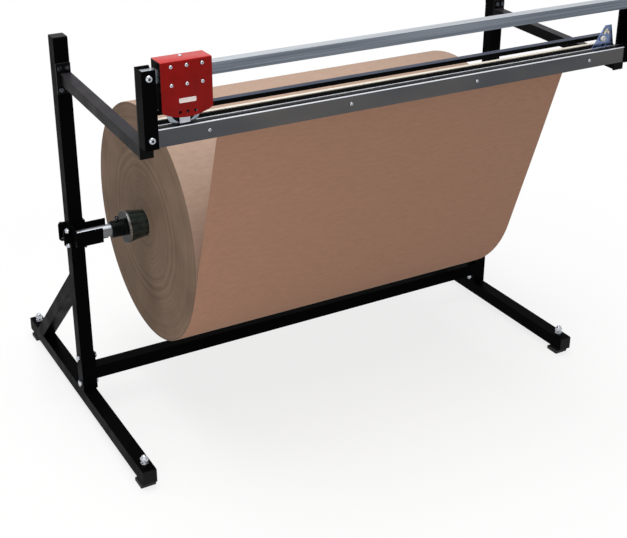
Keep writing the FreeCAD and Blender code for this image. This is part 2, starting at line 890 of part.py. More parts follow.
def clamp_bolts():
    grip = "(2 * clamp_plate + post_size)"
    pieces = []
    for level in clamp_bolt_heights:
        head = (clamp_bolt_x, f"({post_rear} + clamp_plate)", level)
        front = (clamp_bolt_x, "(post_front - clamp_plate)", level)
        shank_start = shift(front, "Y", "-medium_nut")
        screw = fuse(rod("medium_radius", f"{grip} + medium_nut", shank_start, "Y"),
                     hexagon("medium_flats", "medium_head", head, "Y"))
        dome = ball("medium_nut", shank_start)
        domed = fuse(hexagon("medium_flats", "medium_nut", shank_start, "Y"), dome)
        bore = rod("medium_radius + thread_fit", "medium_nut", shank_start, "Y")
        pieces += [screw, cut(domed, bore)]
    return both_sides(pieces)


pair("shaft_holder", shaft_holder())
pair("clamp_plate", rounded_plate(post_rear))
name("clamp_bolts", clamp_bolts())


# --- shaft, chucks, core and roll -------------------------------------------------------
shaft_start = f"({trough_start} + trough_wall + shaft_end_play)"
core_start = "(-core_length / 2)"
cone_slope = "((core_bore_radius - core_fit - cone_tip_radius) / cone_insert)"
cone_base_radius = f"(cone_tip_radius + {cone_slope} * cone_length)"
cone_start = f"({core_start} + cone_insert - cone_length)"
flange_start = f"({cone_start} - flange_thickness)"
hub_start = f"({flange_start} - hub_length)"
chuck_bore = "(shaft_radius + chuck_fit)"
chuck_screw_x = f"({hub_start} + hub_length / 2)"
axis_point = ("0", shaft_y, "shaft_height")


def shaft():
    end = f"(-{shaft_start})"
    corners = [(shaft_start, "0"), (shaft_start, "shaft_radius - shaft_chamfer"),
               (f"{shaft_start} + shaft_chamfer", "shaft_radius"),
               (f"{end} - shaft_chamfer", "shaft_radius"),
               (end, "shaft_radius - shaft_chamfer"), (end, "0")]
    return turning(corners, axis_point)


def chuck():
    tip = f"({cone_start} + cone_length)"
    corners = [(hub_start, chuck_bore), (hub_start, "hub_radius"), (flange_start, "hub_radius"),
               (flange_start, "flange_radius"), (cone_start, "flange_radius"),
               (cone_start, cone_base_radius), (tip, "cone_tip_radius"), (tip, chuck_bore)]
    body = turning(corners, axis_point)
    screw_hole = rod("medium_radius + thread_fit", "hub_radius",
                     (chuck_screw_x, shaft_y, "shaft_height"), "Z")
    return cut(body, screw_hole)


def chuck_screws():
    seat = "(shaft_height + shaft_radius)"
    reach = "(hub_radius - shaft_radius + chuck_screw_rise)"
    screw = rod("medium_radius", reach, (chuck_screw_x, shaft_y, seat), "Z")
    head = rod("medium_flats / 2", "medium_head",
               (chuck_screw_x, shaft_y, f"{seat} + {reach}"), "Z")
    piece = fuse(screw, head)
    return group(piece, mirror(piece))


def sleeve(length, inner, outer):
    start = (f"(-{length} / 2)", shaft_y, "shaft_height")
    return cut(rod(outer, length, start, "X"), rod(inner, length, start, "X"))


name("shaft", shaft())
pair("chuck", chuck())
name("chuck_screws", chuck_screws())
name("roll_core", sleeve("core_length", "core_bore_radius", "(core_bore_radius + core_wall)"))
name("paper_roll", sleeve("roll_length", "(core_bore_radius + core_wall)", "roll_radius"))


# The web leaves the front of the roll where a line from the paper gap touches it.
def paper_web():
    radius = "(roll_radius + web_gap + web_thickness / 2)"
    top_y = f"({section_back} + paper_gap / 2)"
    run = f"({top_y} - {shaft_y})"
    web_top = f"({bed_top} - web_drop)"
    rise = f"({web_top} - shaft_height)"
    square = f"({run} * {run} + {rise} * {rise})"
    tangent = f"sqrt({square} - {radius} * {radius})"
    near = f"({radius} * ({radius} * {run} - {tangent} * {rise}) / {square})"
    up = f"({radius} * ({radius} * {rise} + {tangent} * {run}) / {square})"

    def side(sign):
        offset_y = f"{sign} {near} / {radius} * web_thickness / 2"
        offset_z = f"{sign} {up} / {radius} * web_thickness / 2"
        touching = (f"{shaft_y} + {near} {offset_y}", f"shaft_height + {up} {offset_z}")
        upper = (f"{top_y} {offset_y}", f"{web_top} {offset_z}")
        return [touching, upper]

    corners = side("+") + side("-")[::-1]
    return extrusion("YZ_Plane", corners, "roll_length", ("-roll_length / 2", "0", "0"))


name("paper_web", paper_web())


# --- knife carriage ---------------------------------------------------------------------
cover_start = f"({left} + cover_left)"
cover_middle = f"({cover_start} + cover_width / 2)"
cover_front = f"({section_front} - cover_offset)"
cover_inner = f"({cover_front} + cover_sheet)"
body_back_face = f"({cover_front} + cover_depth)"
upper_roller = f"({rail_top} + roller_gap + roller_radius)"
lower_roller = f"({rail_bottom} - roller_gap - roller_radius)"
body_top_face = f"({upper_roller} + roller_radius + roller_gap + body_top)"
cover_top = f"({body_top_face} + cover_sheet)"
body_bottom = f"({body_top_face} - body_height)"
roller_columns = [f"({cover_middle} + {step} * roller_spacing)" for step in (-1, 0, 1)]
roller_places = [(column, level) for level in (upper_roller, lower_roller)
                 for column in roller_columns]
top_screw_y = f"({body_back_face} - top_screw_inset)"
knife_height = f"({track_top} + knife_radius - knife_bite)"


def carriage_cover():
    front = box("cover_width", "cover_sheet", "cover_height",
                (cover_start, cover_front, f"{cover_top} - cover_height"))
    arc = rod("cover_arc", "cover_sheet",
              (cover_middle, cover_front, f"{cover_top} - cover_height + cover_arc"), "Y")
    lid = box("cover_width", "cover_depth", "cover_sheet",
              (cover_start, cover_front, f"{cover_top} - cover_sheet"))
    holes = [hole("small", "cover_sheet", (column, cover_front, level), "Y")
             for column, level in roller_places]
    holes += [rod("hole_radius", "cover_sheet",
                  (f"{cover_middle} + {step} * hole_spacing", cover_front, knife_height), "Y")
              for step in (-1, 0, 1)]
    holes.append(hole("small", "cover_sheet",
                      (cover_middle, top_screw_y, f"{cover_top} - cover_sheet"), "Z"))
    return cut(fuse(common(front, arc), lid), *holes)


def carriage_body():
    depth = "(cover_depth - cover_sheet)"
    outer = box("cover_width", depth, "body_height", (cover_start, cover_inner, body_bottom))
    inner = box("cover_width - 2 * body_side", f"{depth} - body_back", "body_height - body_top",
                (f"{cover_start} + body_side", cover_inner, body_bottom))
    window = box("cover_width", "section_depth + 2 * rail_window",
                 "rail_height + 2 * rail_window",
                 (cover_start, f"{section_front} - rail_window", f"{rail_bottom} - rail_window"))
    tongue_bottom = f"({knife_height} - tongue_drop)"
    tongue = box("tongue_width", "body_back", f"{body_bottom} - {tongue_bottom}",
                 (f"{cover_middle} - tongue_width / 2", f"{body_back_face} - body_back",
                  tongue_bottom))
    holes = [hole("small", "body_back", (column, f"{body_back_face} - body_back", level), "Y")
             for column, level in roller_places]
    holes.append(rod("knife_axle_radius + bolt_fit", "body_back",
                     (cover_middle, f"{body_back_face} - body_back", knife_height), "Y"))
    holes.append(rod("small_radius + thread_fit", "body_top",
                     (cover_middle, top_screw_y, f"{body_top_face} - body_top"), "Z"))
    return cut(fuse(cut(outer, inner, window), tongue), *holes)


def axle_set():
    pieces = []
    half = "(roller_width / 2 + end_float)"
    for column, level in roller_places:
        front = (column, cover_front, level)
        screw = button_screw("(cover_depth + small_nut)", front, "Y")
        near = f"({section_middle} - {half} - {cover_inner})"
        rear_start = f"({section_middle} + {half})"
        far = f"({body_back_face} - body_back - {rear_start})"
        pieces += [screw,
                   spacer(near, (column, cover_inner, level)),
                   spacer(far, (column, rear_start, level)),
                   nut("small", (column, body_back_face, level), "Y")]
    return pieces


def spacer(length, start):
    return cut(rod("spacer_radius", length, start, "Y"),
               rod("axle_radius + axle_fit", length, start, "Y"))


def guide_roller(column, level):
    start = (column, f"{section_middle} - roller_width / 2", level)
    return cut(rod("roller_radius", "roller_width", start, "Y"),
               rod("axle_radius + axle_fit", "roller_width", start, "Y"))


def cover_screw():
    seat = (cover_middle, top_screw_y, cover_top)
    return button_screw("(cover_sheet + body_top)", seat, "Z", "+")


def knife_wheel():
    blade = rod("knife_radius", "knife_thickness",
                (cover_middle, f"{section_middle} - knife_thickness / 2", knife_height), "Y")
    hub_front = f"({section_middle} - knife_hub_width / 2)"
    hub_start = (cover_middle, hub_front, knife_height)
    hub = rod("knife_hub_radius", "knife_hub_width", hub_start, "Y")
    bore = rod("knife_axle_radius + axle_fit", "knife_hub_width", hub_start, "Y")
    return cut(fuse(blade, hub), bore)


def knife_axle():
    hub_back = f"({section_middle} + knife_hub_width / 2 + end_float)"
    wall_front = f"({body_back_face} - body_back)"
    guard_front = f"({section_middle} - knife_hub_width / 2 - end_float - guard_thickness)"
    front = (cover_middle, f"({guard_front} - large_nut)", knife_height)
    back = (cover_middle, body_back_face, knife_height)
    whole = f"({body_back_face} + large_nut - {guard_front} + large_nut)"
    pin = fuse(rod("knife_axle_radius", whole, front, "Y"),
               rod("knife_shoulder", f"{wall_front} - {hub_back}",
                   (cover_middle, hub_back, knife_height), "Y"))
    return group(pin, nut("large", front, "Y"), nut("large", back, "Y"))


def blade_guard():
    front = f"({section_middle} - knife_hub_width / 2 - end_float - guard_thickness)"
    plate = box("guard_width", "guard_thickness", "guard_drop + guard_rise",
                (f"{cover_middle} - guard_width / 2", front, f"{knife_height} - guard_drop"))
    bore = rod("knife_axle_radius + bolt_fit", "guard_thickness",
               (cover_middle, front, knife_height), "Y")
    return cut(plate, bore)


def badge_plate():
    start = f"({cover_middle} - badge_width / 2)"
    end = f"({cover_middle} + badge_width / 2)"
    low = f"({knife_height} + badge_rise)"
    high = f"({low} + badge_height)"
    corners = []
    for across, inward in ((start, "+"), (end, "-")):
        corners.append([(across, f"{low} + badge_corner"),
                        (f"{across} {inward} badge_corner", low),
                        (f"{across} {inward} badge_corner", high),
                        (across, f"{high} - badge_corner")])
    first, second = corners
    ring = [first[0], first[1], second[1], second[0], second[3], second[2], first[2], first[3]]
    return extrusion("XZ_Plane", ring, "badge_thickness", ("0", cover_front, "0"))


name("carriage_cover", carriage_cover())
name("carriage_body", carriage_body())
name("carriage_screws", group(*axle_set(), cover_screw()))
for row_word, row_level in (("upper", upper_roller), ("lower", lower_roller)):
    for place_word, column in zip(("left", "middle", "right"), roller_columns):
        name(f"guide_roller_{row_word}_{place_word}", guide_roller(column, row_level))
name("knife_wheel", knife_wheel())
name("knife_axle", knife_axle())
name("blade_guard", blade_guard())
name("badge_plate", badge_plate())

doc.recompute()


def check_document():
    faults = []
    for thing in doc.Objects:
        if "Invalid" in thing.State or "Error" in thing.State:
            faults.append(f"{thing.Label}: {thing.State}")
    for label, piece in nodes.items():
        shape = piece.Shape
        if shape.isNull() or not shape.isValid() or not shape.Solids:
            faults.append(f"{label}: bad shape")
    if faults:
        raise RuntimeError("; ".join(faults))


check_document()
os.makedirs("parts", exist_ok=True)
for label, piece in nodes.items():
    piece.Shape.exportStep(os.path.join("parts", f"{label}.step"))
print(f"{len(nodes)} nodes written")
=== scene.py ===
import bpy, bmesh, math, random
from mathutils import Matrix, Vector


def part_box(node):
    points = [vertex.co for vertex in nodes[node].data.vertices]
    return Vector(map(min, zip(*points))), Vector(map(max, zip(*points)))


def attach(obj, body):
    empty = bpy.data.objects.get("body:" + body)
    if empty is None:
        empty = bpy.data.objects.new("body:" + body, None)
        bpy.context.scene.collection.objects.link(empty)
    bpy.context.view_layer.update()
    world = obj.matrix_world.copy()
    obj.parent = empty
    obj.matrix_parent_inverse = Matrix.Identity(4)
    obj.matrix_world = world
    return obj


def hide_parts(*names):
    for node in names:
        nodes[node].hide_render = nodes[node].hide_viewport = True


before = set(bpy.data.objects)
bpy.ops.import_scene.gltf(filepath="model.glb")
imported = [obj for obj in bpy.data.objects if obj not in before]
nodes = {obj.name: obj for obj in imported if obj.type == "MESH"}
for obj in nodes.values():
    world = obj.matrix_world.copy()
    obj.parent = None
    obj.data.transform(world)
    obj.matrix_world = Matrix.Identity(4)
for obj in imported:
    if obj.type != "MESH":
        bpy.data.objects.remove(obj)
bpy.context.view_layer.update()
print("stage: frame loaded,", len(nodes), "nodes")


# links a socket to an input, or sets a plain value on it
def feed(tree, value, target):
    if isinstance(value, bpy.types.NodeSocket):
        tree.links.new(value, target)
    else:
        target.default_value = value


# adds one shader node with its settings and its linked or plain inputs
def addNode(tree, kind, settings=(), inputs=()):
    node = tree.nodes.new(kind)
    for word, value in dict(settings).items():
        setattr(node, word, value)
    for word, value in dict(inputs).items():
        feed(tree, value, node.inputs[word])
    return node


def linearColour(code):
    channels = [int(code[i:i + 2], 16) / 255 for i in (1, 3, 5)]
    return (*[c / 12.92 if c <= 0.04045 else ((c + 0.055) / 1.055) ** 2.4 for c in channels], 1)


# spots about this many metres across on the piece itself, drawn out along one axis or another
def spots(tree, size, stretch=(1, 1, 1), detail=2.0):
    place = addNode(tree, "ShaderNodeTexCoord").outputs["Object"]
    scaled = addNode(tree, "ShaderNodeMapping", inputs={
        "Vector": place, "Scale": [1 / (size * s) for s in stretch]})
    noise = addNode(tree, "ShaderNodeTexNoise", inputs={
        "Vector": scaled.outputs["Vector"], "Scale": 1.0, "Detail": detail})
    return noise.outputs["Fac"]


rollLow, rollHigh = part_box("paper_roll")
rollCentre = (rollLow + rollHigh) / 2
rollRadius = (rollHigh.z - rollLow.z) / 2

# wound layers aren't quite round: each ring wanders by a bit more than its own width
winding = {"wander": 1.2, "patch": 0.09, "detail": 3.0}


# rings about this wide round the axis of the roll
def windingRings(tree, width):
    place = addNode(tree, "ShaderNodeTexCoord").outputs["Object"]
    centred = addNode(tree, "ShaderNodeMapping", inputs={
        "Vector": place, "Location": (0, -rollCentre.y, -rollCentre.z), "Scale": (0, 1, 1)})
    radius = addNode(tree, "ShaderNodeVectorMath", {"operation": "LENGTH"},
                     {0: centred.outputs["Vector"]}).outputs["Value"]
    wander = addNode(tree, "ShaderNodeMath", {"operation": "MULTIPLY_ADD"}, {
        0: spots(tree, winding["patch"]), 1: width * winding["wander"], 2: radius})
    rings = addNode(tree, "ShaderNodeTexNoise", {"noise_dimensions": "1D"}, {
        "W": wander.outputs[0], "Scale": 1 / width, "Detail": winding["detail"]})
    return rings.outputs["Fac"]


# a finish names its patterns: rings of the winding, two others mixed, or spots
def addPattern(tree, made, values):
    if "rings" in values:
        return windingRings(tree, values["rings"])
    if "of" in values:
        first, second = [made[word] for word in values["of"]]
        return addNode(tree, "ShaderNodeMix", inputs={
            0: values["share"], 2: first, 3: second}).outputs[0]
    return spots(tree, **values)


# 1 above a level on the piece, 0 below it
def above(tree, level):
    place = addNode(tree, "ShaderNodeTexCoord").outputs["Object"]
    height = addNode(tree, "ShaderNodeSeparateXYZ", inputs={"Vector": place}).outputs["Z"]
    return addNode(tree, "ShaderNodeMath", {"operation": "GREATER_THAN"},
                   {0: height, 1: level}).outputs[0]


paintedTopLightRange = {"from": 0.6, "to": 0.95}


# how far a face of the piece looks upward, from 0 on the sides to 1 on top, which sets where light
# on the top is painted
def paintedLightOnTop(tree):
    normal = addNode(tree, "ShaderNodeTexCoord").outputs["Normal"]
    upward = addNode(tree, "ShaderNodeSeparateXYZ", inputs={"Vector": normal}).outputs["Z"]
    return addNode(tree, "ShaderNodeMapRange", inputs={
        "Value": upward, "From Min": paintedTopLightRange["from"], "From Max": paintedTopLightRange["to"]}).outputs["Result"]


# the middle part of a noise's values, over which colours and roughness are spread
usualSpread = (0.3, 0.7)


# one plain colour, or the colours from dark to light over a pattern
def colouring(tree, patterns, colours, spread):
    if isinstance(colours, str):
        return linearColour(colours)
    pattern, dark, light = colours
    ramp = addNode(tree, "ShaderNodeValToRGB", inputs={"Fac": patterns[pattern]})
    for element, position, code in zip(ramp.color_ramp.elements, spread, (dark, light)):
        element.position = position
        element.color = linearColour(code)
    return ramp.outputs["Color"]


# makes a material from a finish. Its colours are those of the sides; a top's own colours are
# painted light.
# Roughness is plain or goes with a pattern, and relief is a pattern, its depth and its strength.
def makeFinish(finish):
    material = bpy.data.materials.new(finish["name"])
    material.use_nodes = True
    tree = material.node_tree
    shader = tree.nodes["Principled BSDF"]
    shader.inputs["Metallic"].default_value = finish.get("metallic", 0.0)
    shader.inputs["Specular IOR Level"].default_value = finish.get("shine", 0.5)
    patterns = {}
    for word, values in finish["patterns"].items():
        patterns[word] = addPattern(tree, patterns, values)

    spread = finish.get("spread", usualSpread)
    colour = colouring(tree, patterns, finish["sides"], spread)
    # a top colour is painted light: the top is made lighter than the sides, as if lit from above
    if "top" in finish:
        where = paintedLightOnTop(tree)
        # from that level up the top colour also counts: a painted highlight along the top edge
        if "paintedHighlightFrom" in finish:
            where = addNode(tree, "ShaderNodeMath", {"operation": "MAXIMUM"}, {
                0: above(tree, finish["paintedHighlightFrom"]), 1: where}).outputs[0]
        colour = addNode(tree, "ShaderNodeMix", {"data_type": "RGBA"}, {
            0: where, 6: colour, 7: colouring(tree, patterns, finish["top"], spread)}).outputs[2]
    feed(tree, colour, shader.inputs["Base Color"])

    roughness = finish["roughness"]
    if isinstance(roughness, tuple):
        pattern, low, high = roughness
        roughness = addNode(tree, "ShaderNodeMapRange", inputs={
            "Value": patterns[pattern], "From Min": usualSpread[0], "From Max": usualSpread[1],
            "To Min": low, "To Max": high}).outputs["Result"]
    feed(tree, roughness, shader.inputs["Roughness"])

    if "relief" in finish:
        pattern, depth, strength = finish["relief"]
        bump = addNode(tree, "ShaderNodeBump", inputs={
            "Height": patterns[pattern], "Distance": depth, "Strength": strength})
        feed(tree, bump.outputs["Normal"], shader.inputs["Normal"])
    return material


# satin powder coat, sprayed and baked: a low shine broken by orange peel about 1.5 mm wide
powderCoat = {
    "name": "satin black powder coat", "sides": "#060607", "shine": 0.006,
    "patterns": {"peel": {"size": 0.0015, "detail": 1.0}, "patches": {"size": 0.06}},
    "roughness": ("patches", 0.28, 0.44), "relief": ("peel", 0.00006, 0.6)}
powder = makeFinish(powderCoat)
# this one's top is painted a cool grey: painted light on the top
barPowderLitTop = makeFinish({**powderCoat, "name": "black powder coat rubbed by paper",
                        "shine": 0.045, "top": "#2a3140"})
# a half-gloss coat whose top is painted lighter than its sides: painted light on the top
armPowderLitTop = makeFinish({**powderCoat, "name": "half-gloss black powder coat",
                        "shine": 0.035, "sides": "#0c0c0d", "top": "#252327"})

# bright zinc plate on pressed steel: a cool shine with faint clouds about 12 mm wide
zincPlate = {
    "name": "bright zinc plate", "metallic": 1.0, "sides": ("clouds", "#a4a9b1", "#c3c6cb"),
    "patterns": {"clouds": {"size": 0.012}}, "roughness": ("clouds", 0.17, 0.30)}
zinc = makeFinish(zincPlate)
# other finishes on small steel parts have the same clouds
blueZinc = makeFinish({**zincPlate, "name": "blue-passivated zinc plate",
                       "sides": ("clouds", "#5f7099", "#7f8fb4")})
# blackened steel for black screws; in key sockets and behind the cover's middle hole it is painted
# shade
blackOxideAndShade = makeFinish({**zincPlate, "name": "blackened steel and painted shade",
                         "sides": ("clouds", "#34373d", "#4b4e55")})
knifeSteel = makeFinish({**zincPlate, "name": "hardened knife steel",
                         "sides": ("clouds", "#7e8791", "#a2a9b1")})

# black from this level up, 2 mm below the cover's lower edge, as painted shade inside the cover,
# so bright zinc shows under it
guardShade = {"level": 1.083, "colour": "#090909", "shine": 0.1, "bare": 0.24, "dull": 0.7}


# zinc plate with painted shade: bright below the level, dull black above it inside the cover
def zincWithPaintedShade():
    material = makeFinish({**zincPlate, "name": "zinc plate with painted shade above",
                           "shine": guardShade["shine"], "roughness": guardShade["bare"]})
    tree = material.node_tree
    shader = tree.nodes["Principled BSDF"]
    black = above(tree, guardShade["level"])
    bare = shader.inputs["Base Color"].links[0].from_socket
    colour = addNode(tree, "ShaderNodeMix", {"data_type": "RGBA"}, {
        0: black, 6: bare, 7: linearColour(guardShade["colour"])})
    metal = addNode(tree, "ShaderNodeMath", {"operation": "SUBTRACT"}, {0: 1.0, 1: black})
    roughness = addNode(tree, "ShaderNodeMapRange", inputs={
        "Value": black, "To Min": guardShade["bare"], "To Max": guardShade["dull"]})
    feed(tree, colour.outputs[2], shader.inputs["Base Color"])
    feed(tree, metal.outputs[0], shader.inputs["Metallic"])
    feed(tree, roughness.outputs["Result"], shader.inputs["Roughness"])
    return material


guardZincShaded = zincWithPaintedShade()

# centreless-ground bar: fine rings round the bar, 0.3 mm apart, drawn at 1 mm so that they show
steel = makeFinish({
    "name": "ground bright steel", "metallic": 1.0, "sides": ("rings", "#7b7e83", "#909398"),
    "patterns": {"rings": {"size": 0.001, "stretch": (1, 60, 60)}},
    "roughness": ("rings", 0.32, 0.42)})

# extruded and anodised aluminium: die lines along the bar, and its top painted bright as a painted
# highlight
aluminium = makeFinish({
    "name": "anodised extruded aluminium", "metallic": 1.0,
    "patterns": {"lines": {"size": 0.0008, "stretch": (600, 1.4, 1.4)},
                 "broad": {"size": 0.006, "stretch": (90, 1, 1)}},
    "sides": ("broad", "#5d636d", "#7e848d"), "top": ("broad", "#a0a6ae", "#bcc1c8"),
    "roughness": ("lines", 0.28, 0.44), "relief": ("lines", 0.00005, 0.7)})

# rolled steel bar under clear lacquer: brush lines along it, a hand's breadth of haze, and a
# top painted bright down to 2 mm below its edge: a painted highlight
bedSteel = makeFinish({
    "name": "brushed rolled steel", "metallic": 1.0,
    "patterns": {"lines": {"size": 0.0006, "stretch": (400, 1.2, 1.2)},
                 "haze": {"size": 0.12, "stretch": (3, 1, 1)}},
    "sides": ("haze", "#43464d", "#5a5856"), "top": ("lines", "#d6dae2", "#f4f6fa"),
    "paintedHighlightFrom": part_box("bed_bar")[1].z - 0.002,
    "roughness": ("lines", 0.30, 0.46), "relief": ("lines", 0.00004, 0.6)})

# gloss enamel sprayed on sheet steel: deep red under a thin shine, peel about 3 mm wide
# its top is painted lighter than its sides: painted light on the top
red = makeFinish({
    "name": "gloss red enamel", "shine": 0.09, "roughness": 0.28,
    "patterns": {"patches": {"size": 0.035}, "peel": {"size": 0.003}},
    "sides": ("patches", "#7a0b07", "#880e0a"), "top": ("patches", "#9a1f1d", "#a42523"),
    "relief": ("peel", 0.00004, 0.4)})

# satin plate, rolled and lacquered: nearly even, with fine rolling lines
plate = makeFinish({
    "name": "lacquered plate", "metallic": 0.2, "roughness": 0.34,
    "patterns": {"lines": {"size": 0.0005, "stretch": (30, 1, 1)}},
    "sides": ("lines", "#d6c6c0", "#e9dedb")})

# moulded rubber: dull, with a fine mould texture and dust in it
rubber = makeFinish({
    "name": "moulded black rubber", "roughness": 0.78, "spread": (0.35, 0.75),
    "patterns": {"dust": {"size": 0.004}, "grain": {"size": 0.0007}},
    "sides": ("dust", "#111111", "#201f1e"), "relief": ("grain", 0.0001, 0.6)})

# injection-moulded polyethylene caps: a leathery grain about 0.8 mm wide
caps = makeFinish({
    "name": "moulded polyethylene", "shine": 0.1, "sides": "#0c0c0d",
    "patterns": {"grain": {"size": 0.0008}},
    "roughness": ("grain", 0.42, 0.6), "relief": ("grain", 0.00008, 0.6)})

# sand-cast iron under machine enamel: a grey-green tint and a grain of about 1.2 mm
paintedCasting = {
    "name": "green-grey painted casting", "shine": 0.6, "sides": ("stain", "#161d1b", "#2a3431"),
    "patterns": {"grain": {"size": 0.0012}, "stain": {"size": 0.018}},
    "roughness": ("grain", 0.24, 0.34), "relief": ("grain", 0.00005, 0.5)}
casting = makeFinish(paintedCasting)
# brushed with black over it on the hubs; the same black on the middle of the knife is painted
# shade
hubPaintAndKnifeShade = makeFinish({**paintedCasting, "name": "black painted casting and painted shade", "shine": 0.05,
                       "sides": ("stain", "#070808", "#0d0e10")})

# unbleached kraft: soft fibres 2 mm long, faint clouds about 8 mm wide, almost no shine
kraftPaper = {
    "name": "unbleached kraft paper", "shine": 0.15, "roughness": 0.8, "spread": (0.25, 0.75),
    "patterns": {"clouds": {"size": 0.008, "stretch": (3, 1, 1)},
                 "fibres": {"size": 0.0007, "stretch": (3, 1, 1), "detail": 4.0},
                 "pulp": {"of": ("clouds", "fibres"), "share": 0.412}},
    "sides": ("pulp", "#96725d", "#a67e69"), "relief": ("fibres", 0.00005, 0.5)}
kraft = makeFinish(kraftPaper)
# a paler, greyer copy of the paper for the roll's outside: painted sheen
rollKraftSheen = makeFinish({**kraftPaper, "name": "kraft paper with painted sheen",
                        "sides": ("pulp", "#927a6b", "#a18979")})

# the cut edge of many wound layers: fine rings, and wide ones where the winding was tighter
woundEdge = {
    "name": "wound kraft edges", "shine": 0.2, "roughness": 0.85,
    "patterns": {"fine": {"rings": 0.003}, "wide": {"rings": 0.014},
                 "layers": {"of": ("fine", "wide"), "share": 0.45}, "stain": {"size": 0.12},
                 "stained": {"of": ("layers", "stain"), "share": 0.35}},
    "sides": ("stained", "#5d493b", "#8a7462"), "relief": ("layers", 0.0006, 0.8)}
kraftEdge = makeFinish(woundEdge)
boardEdge = makeFinish({
    **woundEdge, "name": "wound grey board", "sides": ("stained", "#5f5045", "#8d7a69"),
    "patterns": {**woundEdge["patterns"], "fine": {"rings": 0.001}, "wide": {"rings": 0.003}}})

# extruded cream plastic: even and slightly waxy, with knife scratches across
cream = makeFinish({
    "name": "extruded cream plastic", "roughness": 0.42,
    "patterns": {"clouds": {"size": 0.04}, "scratches": {"size": 0.0006, "stretch": (1, 14, 14)}},
    "sides": ("clouds", "#d0c8ba", "#ddd7cb"), "relief": ("scratches", 0.00005, 0.5)})

# turned nylon: milky white with faint tool rings
nylon = makeFinish({
    "name": "turned white nylon", "sides": "#e3e1da",
    "patterns": {"rings": {"size": 0.0006, "stretch": (10, 1, 10)}},
    "roughness": ("rings", 0.28, 0.45), "relief": ("rings", 0.00004, 0.5)})

# cut from brass sheet: warm yellow, rubbed bright along its faces
brass = makeFinish({
    "name": "rubbed brass sheet", "metallic": 1.0, "roughness": 0.3,
    "patterns": {"rubbed": {"size": 0.002, "stretch": (1, 4, 4)}},
    "sides": ("rubbed", "#cbb98c", "#e6dcbd"), "relief": ("rubbed", 0.00003, 0.5)})
print("stage: materials made")


# the frame's own pieces: a finish and small rounded edges
rounding = {"weld": 0.00002, "flat": math.radians(0.5), "sharp": math.radians(35), "steps": 2}


def dress(names, material, edge):
    for word in names.split():
        piece = nodes[word]
        for place in piece.material_slots:
            place.link = "OBJECT"
            place.material = material
        weld = piece.modifiers.new("weld", "WELD")
        weld.merge_threshold = rounding["weld"]
        merged = piece.modifiers.new("flats", "DECIMATE")
        merged.decimate_type = "DISSOLVE"
        merged.angle_limit = rounding["flat"]
        rounded = piece.modifiers.new("edges", "BEVEL")
        rounded.width = edge
        rounded.segments = rounding["steps"]
        rounded.limit_method = "ANGLE"
        rounded.angle_limit = rounding["sharp"]
        rounded.use_clamp_overlap = True
        normals = piece.modifiers.new("normals", "WEIGHTED_NORMAL")
        normals.keep_sharp = False


# each name with its finish and how far its edges are rounded, in metres
dress("post_left post_right foot_tube_left foot_tube_right brace_left brace_right crossbar",
      powder, 0.003)
dress("arm_left arm_right", armPowderLitTop, 0.0014)
dress("channel_left channel_right bed_tray", powder, 0.0009)
dress("guide_bar", barPowderLitTop, 0.0009)
dress("shaft_holder_left shaft_holder_right clamp_plate_left clamp_plate_right", powder, 0.0012)
dress("carriage_body", powder, 0.0005)
dress("tube_caps", caps, 0.0015)
dress("foot_pad_front_left foot_pad_front_right foot_pad_rear_left foot_pad_rear_right",
      rubber, 0.0025)
dress("top_rail", aluminium, 0.0016)
dress("bed_bar", bedSteel, 0.0014)
dress("knife_track", caps, 0.0004)
dress("cutting_strip", cream, 0.0005)
dress("end_bracket", blueZinc, 0.0004)
dress("blade_guard", guardZincShaded, 0.0004)
dress("catch_hook", brass, 0.0003)
print("stage: frame dressed")


axisX, axisY, axisZ = Vector((1, 0, 0)), Vector((0, 1, 0)), Vector((0, 0, 1))
joinWithin = 0.000001  # points closer than this are one
sameLevel = 0.0000001  # heights closer than this are the same
facing = {
    "front": Matrix.Rotation(math.radians(90), 4, "X"),
    "back": Matrix.Rotation(math.radians(-90), 4, "X"),
    "right": Matrix.Rotation(math.radians(90), 4, "Y"),
    "left": Matrix.Rotation(math.radians(-90), 4, "Y"),
    "up": Matrix.Identity(4),
}


# turns a line of (radius, height) points round Z; a closed line makes a ring
def turned(points, steps=32, closed=False):
    bm = bmesh.new()
    corners = [bm.verts.new((radius, 0, height)) for radius, height in points]
    pairs = list(zip(corners, corners[1:]))
    if closed:
        pairs.append((corners[-1], corners[0]))
    lines = [bm.edges.new(pair) for pair in pairs]
    bmesh.ops.spin(bm, geom=corners + lines, cent=(0, 0, 0), axis=axisZ, angle=math.tau,
                   steps=steps, use_merge=True, use_duplicate=False)
    bmesh.ops.remove_doubles(bm, verts=bm.verts[:], dist=joinWithin)
    bmesh.ops.recalc_face_normals(bm, faces=bm.faces[:])
    return bm


# adds a copy of one part at each place, turned to face a side
def spread(target, part, places, side="up"):
    for place in places:
        copy = bpy.data.meshes.new("part")
        part.to_mesh(copy)
        copy.transform(Matrix.Translation(place) @ facing[side])
        target.from_mesh(copy)
        bpy.data.meshes.remove(copy)


# a plain pin, or a sleeve where it has a bore, standing on z = 0
def sleeve(bore, radius, length, steps):
    line = [(bore, 0), (radius, 0), (radius, length), (bore, length)]
    return turned(line, steps, closed=bore > 0)


# a ring with the same profile before and behind its middle
def evenRing(line, steps, middle):
    bm = bmesh.new()
    ring = line + [(radius, -height) for radius, height in line[::-1]]
    spread(bm, turned(ring, steps, closed=True), [middle], "front")
    return bm


